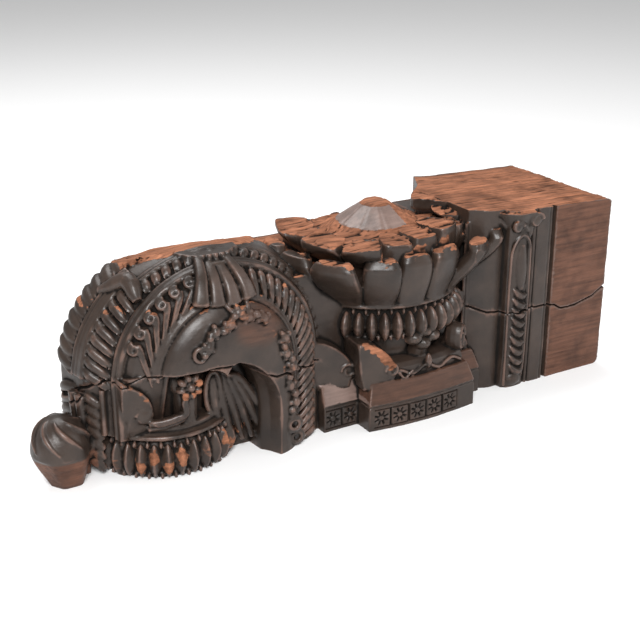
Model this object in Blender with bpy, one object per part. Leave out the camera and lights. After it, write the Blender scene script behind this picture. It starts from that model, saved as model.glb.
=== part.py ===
"""A carved timber bracket, lying as it rests on a floor: a square block at one end, a half lotus on a
stepped plinth in the middle, and a round-headed arch of carved bands at the other end, with a beaded ring
and a bud at its foot.

The whole bracket is one piece of timber, so every carved form is joined into the object "bracket".
X runs from the bud to the sawn end, Y from the carved front to the flat back, Z up from the floor.
The origin is on the floor, at the middle of the length and of the depth.
"""

from math import asin, ceil, cos, degrees, pi, radians, sin, sqrt

import bmesh
import bpy
from mathutils import Matrix, Vector

# Overall sizes of the timber, in metres
LENGTH = 0.698
FRONT_DEPTH = 0.108
BACK_DEPTH = 0.088
SUNK = 0.012  # how far each form runs past the floor or the back before it is sawn flat

# The square block at the sawn end
BLOCK_LENGTH = 0.190
BLOCK_HEIGHT = 0.219
BLOCK_END_HEIGHT = 0.211
BLOCK_FRONT = 0.0905
BLOCK_END_ROUND = 0.011
SHELF_OVERHANG = 0.030
SHELF_THICKNESS = 0.013
SHELF_SETBACK = 0.056
SHELF_TURN = 0.046
TEAR_LENGTH = 0.041  # the corner torn off behind the shelf: past the block's edge, and down
TEAR_DEPTH = 0.030

# The upright mouldings on the block's front, each placed from the block's inner edge
COLUMN_WIDTH = 0.040
COLUMN_SETBACK = 0.028
COLUMN_BULGE = 0.017
STRIP_WIDTH = 0.030
STRIP_RISE = 0.0045
GROOVE_WIDTH = 0.007
GROOVE_DEPTH = 0.006
BAND_WIDTH = 0.0225
LEAF_COUNT = 7
LEAF_FOOT = 0.014

# The curled leaf at the head of the upright strip
CURL_RADIUS = 0.0095
CURL_REACH = 0.022

# The core that joins the three parts
CORE_FRONT = 0.055
CORE_HEIGHT = 0.176

# The lotus and its plinth
LOTUS_FROM_END = 0.2735
PLINTH_WIDTH = 0.142
PLINTH_FRONT = 0.104
PLINTH_SWELL = 0.006
PLINTH_HEIGHT = 0.028
WING_WIDTH = 0.043
WING_FRONT = 0.080
SLOPE_RISE = 0.024
SLOPE_INSET = 0.006
PETAL_BASE_RADIUS = 0.088
NECK_SETBACK = 0.010  # these three steps are measured from the foot of the petals
RING_STEP = 0.009
SEED_SETBACK = 0.014
RING_BOTTOM = 0.094
RING_HEIGHT = 0.036
RING_BEADS = 42
BEAD_SWELL = 0.011
PETALS = 16
PETAL_BASE = 0.133
PETAL_TIP = 0.195
PETAL_THICKNESS = 0.017
RIM_HALF_WIDTH = 0.128
RIM_HALF_DEPTH = 0.101
PETAL_TURN = -6.5
UPPER_TIP = 0.2075
UPPER_REACH = 0.95
UPPER_CROWN = 0.036
SEED_TIP_RADIUS = 0.011
SEED_HEIGHT = 0.228
SEED_FACETS = 10

# The short scrolled leaves that stand on the plinth
SCROLL_HEIGHT = 0.046
SCROLL_LENGTH = 0.046
SCROLL_WIDTH = 0.026

# The round-headed arch
ARCH_FROM_LOTUS = 0.2295
ARCH_SPRING = 0.100
ARCH_STEPS = 14
# Each line of the arch: half width, rise above the springing, and place behind (+) or before (-) the axis
INNER_LINE = (0.0765, 0.081, -0.081)
FERN_LINE = (0.099, 0.100, -0.072)
OUTER_LINE = (0.110, 0.110, -0.062)
CABLE_LINE = (0.131, 0.120, -0.038)
STEM_LINE = (0.137, 0.124, -0.022)
KEEL_LINE = (0.1435, 0.127, 0.008)
SHOULDER_LINE = (0.121, 0.105, 0.045)
BACK_LINE = (0.099, 0.075, 0.088)
ARCH_TOP = 0.2210
ARCH_TOP_BACK = 0.1815
RIB_RADIUS = 0.0055
STEM_RADIUS = 0.0095

# The rows of carved leaves on the arch
LOBE_PITCH = 0.0140
LOBE_RADIUS = 0.0088
CABLE_PITCH = 0.0125
CABLE_RADIUS = 0.0058
FERN_PITCH = 0.0170
FERN_RADIUS = 0.0062
LOBE_TIP_SETBACK = 0.012
# Shares of an arch line, from the left foot to the right foot, where the rows start and stop
STEM_END = 0.42
CABLE_SPAN = (0.12, 0.97)
FERN_SPAN = (0.25, 0.94)

# The smooth hood inside the arch, and the opening under it
HOOD_SWELL = 0.021
NICHE_WIDTH = 0.056
NICHE_HEIGHT = 0.117
NICHE_SHIFT = 0.0095
NICHE_DEPTH = 0.030
NICHE_SPLAY = 0.020
RECESS_TOP = 0.106
RECESS_LIP = 0.012
RECESS_DEPTH = 0.024
GARLAND_RADIUS = 0.0068
GARLAND_LINKS = 15
GARLAND_END = 0.038  # heights of its end and its crown above the springing, and of its foot
GARLAND_CROWN = 0.068
GARLAND_FOOT = 0.013

# The hanging spray of petals at the crown of the arch
SPRAY_PETALS = 5
SPRAY_LENGTH = 0.038
SPRAY_REACH = 0.046
SPRAY_WIDTH = 0.0100
SPRAY_FRINGE = 0.066

# The beaded ring at the foot of the arch, and what stands on it
FOOT_SHIFT = 0.047
FOOT_BEHIND = 0.014
FOOT_RADIUS = 0.075
FOOT_HEIGHT = 0.040
FOOT_BEADS = 34
FOOT_BEAD_SWELL = 0.009
FILLET_HEIGHT = 0.007
FILLET_STEP = 0.006
FIN_HEIGHT = 0.058
FIN_WIDTH = 0.034
FIN_THICKNESS = 0.012
ROSETTE_RADIUS = 0.014

# The bud at the tip
BUD_RADIUS = 0.030
BUD_HALF_HEIGHT = 0.0375
BUD_BEFORE = 0.036
BUD_WORN = 0.0005  # how much of its underside is worn away where it rests

WOOD_COLOUR = (0.085, 0.058, 0.048, 1.0)
WOOD_ROUGHNESS = 0.62

# Places worked out from the sizes above
END_X = LENGTH / 2
BLOCK_X = END_X - BLOCK_LENGTH
LOTUS_X = END_X - LOTUS_FROM_END
ARCH_X = LOTUS_X - ARCH_FROM_LOTUS
FOOT_X = ARCH_X - FOOT_SHIFT
BUD_X = -LENGTH / 2 + BUD_RADIUS
BUD_LIFT = BUD_HALF_HEIGHT - BUD_WORN
COLUMN_FACE = BLOCK_FRONT - COLUMN_SETBACK * 0.73
MIDDLE_Y = (PLINTH_FRONT + PLINTH_SWELL - BACK_DEPTH) / 2
SLOPE_TOP = PLINTH_HEIGHT + SLOPE_RISE
NECK_RADIUS = PETAL_BASE_RADIUS - NECK_SETBACK
RING_RADIUS = PETAL_BASE_RADIUS + RING_STEP
SEED_RADIUS = PETAL_BASE_RADIUS - SEED_SETBACK


def clear_scene():
    """Start from an empty scene."""
    for found in list(bpy.data.objects):
        bpy.data.objects.remove(found)


def wood():
    """The one dark, dry timber that the bracket is cut from."""
    material = bpy.data.materials.new("carved_wood")
    material.use_nodes = True
    shader = material.node_tree.nodes["Principled BSDF"]
    shader.inputs["Base Color"].default_value = WOOD_COLOUR
    shader.inputs["Roughness"].default_value = WOOD_ROUGHNESS
    shader.inputs["Metallic"].default_value = 0.0
    return material


def finished(name, bm, material):
    """Turn a bmesh into a named object with its faces pointing out."""
    bmesh.ops.remove_doubles(bm, verts=bm.verts, dist=1e-6)
    bmesh.ops.recalc_face_normals(bm, faces=bm.faces)
    mesh = bpy.data.meshes.new(name)
    bm.to_mesh(mesh)
    bm.free()
    mesh.materials.append(material)
    made = bpy.data.objects.new(name, mesh)
    bpy.context.scene.collection.objects.link(made)
    return made


def loft(name, rings, material):
    """A solid through closed rings of points, capped at both ends. A ring of one point is a tip."""
    bm = bmesh.new()
    rows = [[bm.verts.new(point) for point in ring] for ring in rings]
    for low, high in zip(rows, rows[1:]):
        count = max(len(low), len(high))
        for i in range(count):
            j = (i + 1) % count
            corners = [low[i % len(low)], low[j % len(low)], high[j % len(high)], high[i % len(high)]]
            kept = [c for k, c in enumerate(corners) if c not in corners[:k]]
            if len(kept) > 2:
                bm.faces.new(kept)
    for row in (rows[0], rows[-1]):
        if len(row) > 2:
            bm.faces.new(row)
    return finished(name, bm, material)


def prism(name, outline, low, high, material):
    """A plan outline of (x, y) raised from one height to another. A height may be a function of x."""
    def height(level, x):
        return level(x) if callable(level) else level

    rings = [[Vector((x, y, height(level, x))) for x, y in outline] for level in (low, high)]
    return loft(name, rings, material)


def turned(name, centre, profile, steps, material):
    """A turned solid about a vertical line, from a profile of (radius, height)."""
    rings = []
    for radius, z in profile:
        turns = [2 * pi * k / steps for k in range(steps)]
        rings.append([Vector((centre[0] + radius * cos(t), centre[1] + radius * sin(t), z)) for t in turns])
    return loft(name, rings, material)


def horn(name, path, sizes, facing, sides, material):
    """A curved, pointed lobe along a path. Each size is (half width, half thickness) at that point."""
    rings = []
    for k, (point, (wide, thick)) in enumerate(zip(path, sizes)):
        ahead = path[min(k + 1, len(path) - 1)] - path[max(k - 1, 0)]
        across = ahead.cross(facing).normalized()
        out = across.cross(ahead).normalized()
        if wide == 0:
            rings.append([point])
            continue
        turns = [2 * pi * (i + 0.5) / sides for i in range(sides)]
        rings.append([point + across * (wide * cos(t)) + out * (thick * sin(t)) for t in turns])
    return loft(name, rings, material)


def lozenge(name, centre, out, half_width, half_height, half_thickness, steps, material):
    """An upright bead with pointed ends, faceted about its vertical axis."""
    side = Vector((0, 0, 1)).cross(out).normalized()
    rings = [[centre - Vector((0, 0, half_height))]]
    for level in (-0.42, 0.42):
        share = sqrt(1 - level * level)
        turns = [2 * pi * (k + 0.5) / steps for k in range(steps)]
        rings.append([
            centre + side * (half_width * share * cos(t)) + out * (half_thickness * share * sin(t))
            + Vector((0, 0, half_height * level)) for t in turns
        ])
    rings.append([centre + Vector((0, 0, half_height))])
    return loft(name, rings, material)


def block_top(x):
    """Height of the hewn top of the block, which falls towards the sawn end."""
    share = (x - BLOCK_X) / BLOCK_LENGTH
    return BLOCK_HEIGHT + (BLOCK_END_HEIGHT - BLOCK_HEIGHT) * share


def block_outline():
    """The block's plan: a round column, a raised strip, a flat band and a groove along its front."""
    column = -BLOCK_FRONT + COLUMN_SETBACK
    points = [(BLOCK_X, BACK_DEPTH + SUNK), (BLOCK_X, column)]
    for k in range(1, 6):
        share = k / 6
        points.append((BLOCK_X + COLUMN_WIDTH * share, column - COLUMN_BULGE * sin(pi * (0.62 * share))))
    strip = BLOCK_X + COLUMN_WIDTH
    points.append((strip, -BLOCK_FRONT + GROOVE_DEPTH * 1.8))
    for k in range(5):
        share = k / 4
        points.append((
            strip + GROOVE_WIDTH / 3 + STRIP_WIDTH * share,
            -BLOCK_FRONT + GROOVE_DEPTH / 2 - (STRIP_RISE + GROOVE_DEPTH / 2) * sin(pi * share),
        ))
    band = strip + STRIP_WIDTH + GROOVE_WIDTH
    points += [(band - GROOVE_WIDTH / 3, -BLOCK_FRONT + GROOVE_DEPTH), (band, -BLOCK_FRONT)]
    groove = band + BAND_WIDTH
    points += [
        (groove, -BLOCK_FRONT),
        (groove + GROOVE_WIDTH / 2, -BLOCK_FRONT + GROOVE_DEPTH),
        (groove + GROOVE_WIDTH, -BLOCK_FRONT),
        (END_X, -BLOCK_FRONT),
        (END_X, BACK_DEPTH + SUNK),
    ]
    return points


def make_block(material):
    """The square block, with its top and bottom edges worn round at the sawn end."""
    made = prism("block", block_outline(), -SUNK, block_top, material)
    rounder = []
    for corner_z, sign in ((block_top(END_X), 1), (0.0, -1)):
        outline = [(BLOCK_END_ROUND, sign * SUNK * 2), (0, sign * SUNK * 2)]
        turns = [radians(22.5 * k) for k in range(5)]
        arc = [(BLOCK_END_ROUND * (1 - cos(t)), -sign * BLOCK_END_ROUND * (1 - sin(t))) for t in turns]
        points = [(END_X - x, corner_z + z) for x, z in arc]
        points += [
            (END_X - BLOCK_END_ROUND, corner_z + sign * SUNK * 2),
            (END_X + SUNK, corner_z + sign * SUNK * 2),
            (END_X + SUNK, corner_z - sign * BLOCK_END_ROUND),
        ]
        rings = [[Vector((x, y, z)) for x, z in points] for y in (-FRONT_DEPTH * 1.2, BACK_DEPTH * 1.4)]
        rounder.append(loft("end_rounding", rings, material))
    return [made], rounder


def make_shelf(material):
    """The thin shelf that the block's top runs out to, behind the lotus."""
    left = BLOCK_X - SHELF_OVERHANG
    outline = [
        (left, SUNK / 4),
        (BLOCK_X + SHELF_TURN, -SHELF_SETBACK),
        (BLOCK_X + COLUMN_WIDTH * 1.3, -SHELF_SETBACK),
        (BLOCK_X + COLUMN_WIDTH * 1.3, BACK_DEPTH + SUNK),
        (left + SHELF_OVERHANG * 0.4, BACK_DEPTH + SUNK),
    ]
    underside = BLOCK_HEIGHT - SHELF_THICKNESS
    return [prism("shelf", outline, underside, lambda x: block_top(x) + SUNK / 40, material)]


def make_tear(material):
    """Cutter for the corner that is torn off the top, behind the shelf."""
    left = BLOCK_X - SHELF_OVERHANG
    outline = [(left - SUNK, -SUNK / 3), (left, SUNK / 3), (BLOCK_X + TEAR_LENGTH, BACK_DEPTH + SUNK * 1.5),
               (left - SUNK, BACK_DEPTH + SUNK * 1.5)]
    return [prism("tear", outline, BLOCK_HEIGHT - TEAR_DEPTH, BLOCK_HEIGHT + SUNK, material)]


def make_strip_leaves(material):
    """Leaf lobes up the raised strip, and the curled leaf at its head."""
    made = []
    middle = BLOCK_X + COLUMN_WIDTH + GROOVE_WIDTH / 3 + STRIP_WIDTH / 2
    face = -BLOCK_FRONT - STRIP_RISE / 3
    head = BLOCK_HEIGHT * 0.84
    pitch = (head - LEAF_FOOT) / LEAF_COUNT
    for k in range(LEAF_COUNT):
        z = LEAF_FOOT + pitch * (k + 0.35)
        path = [
            Vector((middle + STRIP_WIDTH * 0.26, face, z)),
            Vector((middle, face - STRIP_RISE * 0.4, z + pitch * 0.12)),
            Vector((middle - STRIP_WIDTH * 0.22, face, z + pitch * 0.72)),
        ]
        made.append(horn(f"strip_leaf_{k}", path, [(0, 0), (pitch * 0.26, STRIP_RISE), (0, 0)],
                         Vector((0, -1, 0)), 5, material))
    top = BLOCK_HEIGHT - CURL_RADIUS * 1.4
    reach = -BLOCK_FRONT - CURL_REACH * 0.35
    cheek = [
        (middle - STRIP_WIDTH * 1.05, -COLUMN_FACE + SUNK),
        (middle - STRIP_WIDTH * 0.95, -COLUMN_FACE - CURL_REACH * 0.25),
        (middle - STRIP_WIDTH * 0.3, reach),
        (middle + STRIP_WIDTH * 0.45, reach),
        (middle + STRIP_WIDTH * 0.55, -BLOCK_FRONT + SUNK),
    ]
    under = [(middle + (x - middle) * 0.72, -BLOCK_FRONT * 0.7 + y * 0.3 + SUNK / 2) for x, y in cheek]
    low = [Vector((x, y, top - CURL_RADIUS * 1.9)) for x, y in under]
    high = [Vector((x, y, top + CURL_RADIUS * 0.9)) for x, y in cheek]
    made.append(loft("curl_leaf", [low, high], material))
    for k, shift in enumerate((-0.52, 0.42)):
        centre = Vector((middle + STRIP_WIDTH * shift, reach + CURL_RADIUS * 0.4, top - CURL_RADIUS * 0.5))
        made.append(lozenge(f"curl_{k}", centre, Vector((0, -1, 0)), CURL_RADIUS, CURL_RADIUS * 1.1,
                            CURL_RADIUS, 6, material))
    return made


def make_core(material):
    """The plain timber between the block, the lotus and the arch."""
    outline = [
        (ARCH_X, -CORE_FRONT), (BLOCK_X + COLUMN_WIDTH / 2, -CORE_FRONT),
        (BLOCK_X + COLUMN_WIDTH / 2, BACK_DEPTH + SUNK), (ARCH_X, BACK_DEPTH + SUNK),
    ]
    return prism("bracket", outline, -SUNK * 0.7, CORE_HEIGHT, material)


def plinth_outline(inset):
    """The plinth's plan: a front that swells a little between two narrower wings."""
    half, wing = PLINTH_WIDTH / 2 - inset, PLINTH_WIDTH / 2 + WING_WIDTH
    front, side = PLINTH_FRONT - inset, WING_FRONT - inset
    points = [(-wing, CORE_FRONT), (-wing, -side), (-half - inset * 0.5, -side), (-half, -front)]
    for k in range(1, 4):
        share = k / 4
        points.append((-half + 2 * half * share, -front - PLINTH_SWELL * sin(pi * share)))
    points += [(half, -front), (half + inset * 0.5, -side), (half + WING_WIDTH * 0.6, -side),
               (half + WING_WIDTH * 0.6, CORE_FRONT)]
    return [(LOTUS_X + x, y) for x, y in points]


def make_plinth(material):
    """The band of squares with its slope above, and the turned neck behind the leaves."""
    low, high = plinth_outline(0.0), plinth_outline(SLOPE_INSET)
    rings = [[Vector((x, y, z)) for x, y in outline] for outline, z in (
        (low, -SUNK), (low, PLINTH_HEIGHT), (high, SLOPE_TOP),
    )]
    made = [loft("plinth", rings, material)]
    profile = [(NECK_RADIUS, PLINTH_HEIGHT), (NECK_RADIUS, RING_BOTTOM + RING_HEIGHT / 3)]
    made.append(turned("neck", (LOTUS_X, 0), profile, 20, material))
    return made


def make_bead_ring(material):
    """The ring of upright beads under the petals. Beads that would be inside the core are left out."""
    middle = RING_BOTTOM + RING_HEIGHT / 2
    profile = [
        (RING_RADIUS - BEAD_SWELL, RING_BOTTOM + RING_HEIGHT * 0.1),
        (RING_RADIUS - BEAD_SWELL / 3, middle - RING_HEIGHT * 0.2),
        (RING_RADIUS - BEAD_SWELL / 3, middle + RING_HEIGHT * 0.2),
        (RING_RADIUS - BEAD_SWELL * 0.7, PETAL_BASE + SUNK * 0.8),
    ]
    made = [turned("ring_body", (LOTUS_X, 0), profile, 28, material)]
    half_width = pi * RING_RADIUS / RING_BEADS * 0.98
    widest = degrees(asin(min(1.0, (RING_RADIUS - CORE_FRONT * 0.55) / RING_RADIUS))) + 28
    count = int(widest / (360 / RING_BEADS))
    for k in range(-count, count + 1):
        turn = 2 * pi * k / RING_BEADS
        out = Vector((sin(turn), -cos(turn), 0))
        centre = Vector((LOTUS_X, 0, middle)) + out * (RING_RADIUS - BEAD_SWELL * 0.1)
        made.append(lozenge(f"ring_bead_{k + count:02d}", centre, out, half_width, RING_HEIGHT * 0.47,
                            BEAD_SWELL, 6, material))
    return made


def rim_reach(turn):
    """How far the petals reach from the lotus axis, on a plan between a circle and a square."""
    power = 5
    total = abs(sin(turn) / RIM_HALF_WIDTH) ** power + abs(cos(turn) / RIM_HALF_DEPTH) ** power
    return total ** (-1 / power)


def make_petal(name, turn, base_z, tip_z, reach, blunt, crown, material):
    """One thick petal that leans out from the lotus axis. Its crown is its thickness at the hewn tip."""
    out, side = Vector((sin(turn), -cos(turn), 0)), Vector((cos(turn), sin(turn), 0))
    axis = Vector((LOTUS_X, 0, 0))
    tip = rim_reach(turn) * reach
    rings = []
    for rise, widen, thick in ((0.0, 0.95, 1.0), (0.4, 1.02, 1.0), (0.78, 1.0, 1.0), (1.0, blunt, crown)):
        lean = sin(rise * pi / 2) ** 1.3
        radius = PETAL_BASE_RADIUS * (1 - lean) + tip * lean
        half = pi * radius / PETALS * widen
        depth = PETAL_THICKNESS * thick
        if rise == 1.0:
            radius -= PETAL_THICKNESS * (1 - blunt)
        centre = axis + out * radius + Vector((0, 0, base_z + (tip_z - base_z) * rise))
        rings.append([
            centre - side * half - out * depth * 0.3,
            centre - side * half * 0.5,
            centre + side * half * 0.5,
            centre + side * half - out * depth * 0.3,
            centre + side * half * 0.6 - out * depth,
            centre - side * half * 0.6 - out * depth,
        ])
    return loft(name, rings, material)


def make_lotus(material):
    """Two rows of petals about a faceted seed head."""
    profile = [
        (PETAL_BASE_RADIUS + PETAL_THICKNESS * 0.1, RING_BOTTOM + RING_HEIGHT / 2),
        (PETAL_BASE_RADIUS, PETAL_BASE + (PETAL_TIP - PETAL_BASE) * 0.5),
        (PETAL_BASE_RADIUS - PETAL_THICKNESS * 0.1, PETAL_TIP - PETAL_THICKNESS * 0.35),
    ]
    made = [turned("lotus_body", (LOTUS_X, 0), profile, 24, material)]
    step, first = 2 * pi / PETALS, radians(PETAL_TURN)
    for k in range(-4, 5):
        turn = first + k * step
        made.append(make_petal(f"petal_{k + 4}", turn, PETAL_BASE, PETAL_TIP, 1.0, 0.62, 0.5, material))
    crown = UPPER_CROWN / PETAL_THICKNESS
    for k in range(-5, 5):
        reach = UPPER_REACH * (0.9 if k in (0, 1) else 1.0)
        turn = first + (k + 0.5) * step
        made.append(make_petal(f"upper_petal_{k + 5}", turn, PETAL_TIP - PETAL_THICKNESS, UPPER_TIP, reach,
                               0.95, crown, material))
    seed = [
        (SEED_RADIUS * 1.04, CORE_HEIGHT - SUNK),
        (SEED_RADIUS, PETAL_TIP - PETAL_THICKNESS * 0.5),
        (SEED_TIP_RADIUS, SEED_HEIGHT),
    ]
    made.append(turned("seed_head", (LOTUS_X, 0), seed, SEED_FACETS, material))
    return made


def make_scrolls(material):
    """The short scrolled leaves: a curved wedge on each corner of the plinth and one in the middle."""
    made = []
    front = PLINTH_FRONT - SLOPE_INSET * 1.6
    places = (
        (-PLINTH_WIDTH / 2 - WING_WIDTH * 0.72, -WING_FRONT + SLOPE_INSET * 1.6, -12, 1.0),
        (-PLINTH_WIDTH / 2 + SCROLL_LENGTH * 0.35, -front, -6, 0.85),
        (PLINTH_WIDTH / 2 - SCROLL_LENGTH * 0.2, -front + SCROLL_WIDTH * 0.2, 40, 0.85),
    )
    for k, (x, y, turn, share) in enumerate(places):
        side = Matrix.Rotation(radians(turn), 3, "Z") @ Vector((1, 0, 0))
        inward = Matrix.Rotation(radians(turn), 3, "Z") @ Vector((0, 1, 0))
        start = Vector((LOTUS_X + x, y, SLOPE_TOP - SUNK / 2))
        length, height = SCROLL_LENGTH * share, SCROLL_HEIGHT * share
        outline = [(-0.36, 0.0), (-0.44, 0.5), (-0.42, 1.0), (-0.2, 1.0), (0.02, 0.78), (0.2, 0.72),
                   (0.42, 0.78), (0.58, 0.6), (0.56, 0.3), (0.4, 0.0)]
        rings = []
        for depth in (0.0, SCROLL_WIDTH * 1.6):
            rings.append([start + side * (length * u) + inward * depth + Vector((0, 0, height * v))
                          for u, v in outline])
        made.append(loft(f"scroll_{k}", rings, material))
    return made


def arch_point(line, share):
    """A point of an arch line. The share runs from 0 at the left foot to 1 at the right foot."""
    half, rise, y = line
    leg = ARCH_SPRING + SUNK
    curve = pi * sqrt((half * half + rise * rise) / 2)
    travel = share * (2 * leg + curve)
    if travel < leg:
        return Vector((ARCH_X - half, y, travel - SUNK))
    if travel > leg + curve:
        return Vector((ARCH_X + half, y, 2 * leg + curve - travel - SUNK))
    turn = pi * (travel - leg) / curve
    return Vector((ARCH_X - half * cos(turn), y, ARCH_SPRING + rise * sin(turn)))


def arch_length(line):
    """Length of an arch line from foot to foot, with the stretch below the floor."""
    half, rise, _ = line
    return 2 * (ARCH_SPRING + SUNK) + pi * sqrt((half * half + rise * rise) / 2)


def arch_ring(line):
    """One arch line as a ring: both legs and the round head."""
    half, rise, y = line
    turns = [pi * k / ARCH_STEPS for k in range(ARCH_STEPS + 1)]
    points = [Vector((ARCH_X - half, y, -SUNK))]
    points += [Vector((ARCH_X - half * cos(t), y, ARCH_SPRING + rise * sin(t))) for t in turns]
    points.append(Vector((ARCH_X + half, y, -SUNK)))
    return points


def arch_out(line, share):
    """The direction away from the arch's middle at a share of the line."""
    point = arch_point(line, share)
    return Vector((point.x - ARCH_X, 0, max(point.z - ARCH_SPRING, 0.0))).normalized()


def make_arch_body(material):
    """The stepped round head that carries the bands, with the smooth hood in front."""
    lines = [INNER_LINE, FERN_LINE, OUTER_LINE, CABLE_LINE, STEM_LINE, KEEL_LINE, SHOULDER_LINE, BACK_LINE]
    rings = [arch_ring(line) for line in lines]
    half, rise, y = BACK_LINE
    rings.append(arch_ring((half, rise, y + SUNK)))
    made = [loft("arch_body", rings, material)]
    half, rise, y = INNER_LINE
    hood = []
    for shrink, forward in ((0.97, -0.006), (0.94, 0.35), (0.80, 0.75), (0.55, 0.95), (0.25, 1.0)):
        hood.append(arch_ring((half * shrink, rise * shrink, y - HOOD_SWELL * max(forward, -0.2))))
    hood[0] = arch_ring((half * 0.97, rise * 0.97, y + SUNK))
    made.append(loft("hood", hood, material))
    return made


def make_openings(material):
    """Cutters for the pointed opening under the hood, the recess beside it, and the room for the ring."""
    front = INNER_LINE[2] - HOOD_SWELL * 1.6
    half = NICHE_WIDTH / 2
    x = ARCH_X + NICHE_SHIFT
    pointed = [
        (-half, -SUNK * 2), (-half, NICHE_HEIGHT * 0.62), (-half * 0.8, NICHE_HEIGHT * 0.88),
        (-half * 0.4, NICHE_HEIGHT), (half * 0.1, NICHE_HEIGHT * 0.96),
        (half * 0.6, NICHE_HEIGHT * 0.83), (half, NICHE_HEIGHT * 0.6), (half, -SUNK * 2),
    ]
    mouth, floor = INNER_LINE[2] + RIB_RADIUS, INNER_LINE[2] + NICHE_DEPTH
    rings = []
    for y, splay in ((front, NICHE_SPLAY), (mouth, 0.0), (floor, 0.0)):
        rings.append([Vector((x + u + splay * max(u, 0.0) / half, y, z)) for u, z in pointed])
    cuts = [loft("niche_cutter", rings, material)]
    left = -(OUTER_LINE[0] - RIB_RADIUS) - NICHE_SHIFT
    recess = [(left, -SUNK * 1.6), (left, RECESS_TOP - RIB_RADIUS), (left + RIB_RADIUS, RECESS_TOP),
              (-half * 0.7, RECESS_TOP - RIB_RADIUS * 0.3), (-half * 0.5, -SUNK * 1.6)]
    rings = []
    for y, lift in ((front - RIB_RADIUS, RECESS_LIP), (INNER_LINE[2] + RECESS_DEPTH, 0.0)):
        rings.append([Vector((x + u, y, z + (lift if z > 0 else 0))) for u, z in recess])
    cuts.append(loft("recess_cutter", rings, material))
    reach = KEEL_LINE[0] * 1.3
    room = [(ARCH_X - reach, -FRONT_DEPTH * 1.2), (ARCH_X - RIB_RADIUS, -FRONT_DEPTH * 1.2),
            (ARCH_X - RIB_RADIUS, CABLE_LINE[2]), (FOOT_X - FOOT_RADIUS * 0.6, 0.0), (ARCH_X - reach, 0.0)]
    cuts.append(prism("ring_room_cutter", room, -SUNK * 1.3, FOOT_HEIGHT + FILLET_HEIGHT, material))
    return cuts


def make_rib(name, line, radius, start, stop, material):
    """A rounded rib that follows an arch line between two shares."""
    steps = ceil(ARCH_STEPS * 1.6 * (stop - start))
    rings = []
    for k in range(steps + 1):
        share = start + (stop - start) * k / steps
        point, out = arch_point(line, share), arch_out(line, share)
        face = Vector((0, -1, 0))
        rings.append([point + out * (radius * cos(t)) + face * (radius * sin(t))
                      for t in [2 * pi * (i + 0.5) / 6 for i in range(6)]])
    return loft(name, rings, material)


def make_lobe_row(name, inner, outer, pitch, radius, start, stop, slant, sides, material):
    """A row of curved lobes laid across a band from one arch line to another."""
    made = []
    length = arch_length(inner)
    count = int((stop - start) * length / pitch)
    for k in range(count):
        share = start + (stop - start) * (k + 0.5) / count
        step = slant / length
        root = arch_point(inner, share)
        middle = (arch_point(inner, share + step * 0.35) + arch_point(outer, share + step * 0.35)) / 2
        tip = arch_point(outer, share + step)
        out = arch_out(inner, share)
        facing = (out + Vector((0, -0.6, 0))).normalized()
        path = [root, middle + facing * radius * 0.35, tip + facing * radius * 0.15]
        sizes = [(radius * 0.5, radius * 0.5), (radius, radius * 0.85), (radius * 0.62, radius * 0.6)]
        made.append(horn(f"{name}_{k:02d}", path, sizes, facing, sides, material))
    return made


def share_at_height(line, z):
    """The share of an arch line at which its left leg reaches a height."""
    return (z + SUNK) / arch_length(line)


def make_arch_bands(material):
    """Ribs and rows of leaves over the arch. The crown's outermost row is hewn away."""
    above_ring = FOOT_HEIGHT + FILLET_HEIGHT - RIB_RADIUS / 2
    start = share_at_height(INNER_LINE, RECESS_TOP)
    made = [make_rib("inner_rib", INNER_LINE, RIB_RADIUS, start, 1.0, material)]
    start = share_at_height(OUTER_LINE, above_ring)
    made.append(make_rib("outer_rib", OUTER_LINE, RIB_RADIUS * 1.15, start, 1.0, material))
    start = share_at_height(STEM_LINE, above_ring)
    made.append(make_rib("stem_rib", STEM_LINE, STEM_RADIUS, start, STEM_END, material))
    tips = (*KEEL_LINE[:2], KEEL_LINE[2] + LOBE_TIP_SETBACK)
    made += make_lobe_row("outer_lobe", STEM_LINE, tips, LOBE_PITCH, LOBE_RADIUS, start, STEM_END - 0.02,
                          LOBE_PITCH * 0.9, 5, material)
    made += make_lobe_row("cable", OUTER_LINE, CABLE_LINE, CABLE_PITCH, CABLE_RADIUS, *CABLE_SPAN,
                          CABLE_PITCH * 0.8, 4, material)
    made += make_lobe_row("fern", INNER_LINE, FERN_LINE, FERN_PITCH, FERN_RADIUS, *FERN_SPAN,
                          FERN_PITCH, 4, material)
    return made


def hood_surface(x, z):
    """How far forward the hood stands at a point of its front, as a y value."""
    half, rise, y = INNER_LINE
    u = (x - ARCH_X) / half
    v = max(z - ARCH_SPRING, 0.0) / rise
    away = min(1.0, u * u + v * v)
    return y - HOOD_SWELL * sqrt(1 - away ** 1.6)


def garland_point(share):
    """The garland's line: up over the niche's head, then down the right leg to the floor."""
    half = INNER_LINE[0]
    rise = share / 0.42
    if rise <= 1:
        x = ARCH_X - half * 0.42 + half * 0.56 * rise
        z = ARCH_SPRING + GARLAND_END + (GARLAND_CROWN - GARLAND_END) * sin(rise * pi / 2)
    else:
        fall = (share - 0.42) / 0.58
        x = ARCH_X + half * 0.14 + half * 0.74 * sin(fall * pi / 2)
        z = ARCH_SPRING + GARLAND_CROWN - (ARCH_SPRING + GARLAND_CROWN - GARLAND_FOOT) * fall ** 1.25
    return Vector((x, hood_surface(x, z), z))


def make_garland(material):
    """The chain of flowers that hangs over the hood."""
    made = []
    for k in range(GARLAND_LINKS):
        centre = garland_point(k / (GARLAND_LINKS - 1))
        size = GARLAND_RADIUS * (1.1 if k % 2 else 0.95)
        made.append(lozenge(f"garland_{k:02d}", centre, Vector((0, -1, 0)), size, size * 0.95, size * 0.8,
                            5, material))
    return made


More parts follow.
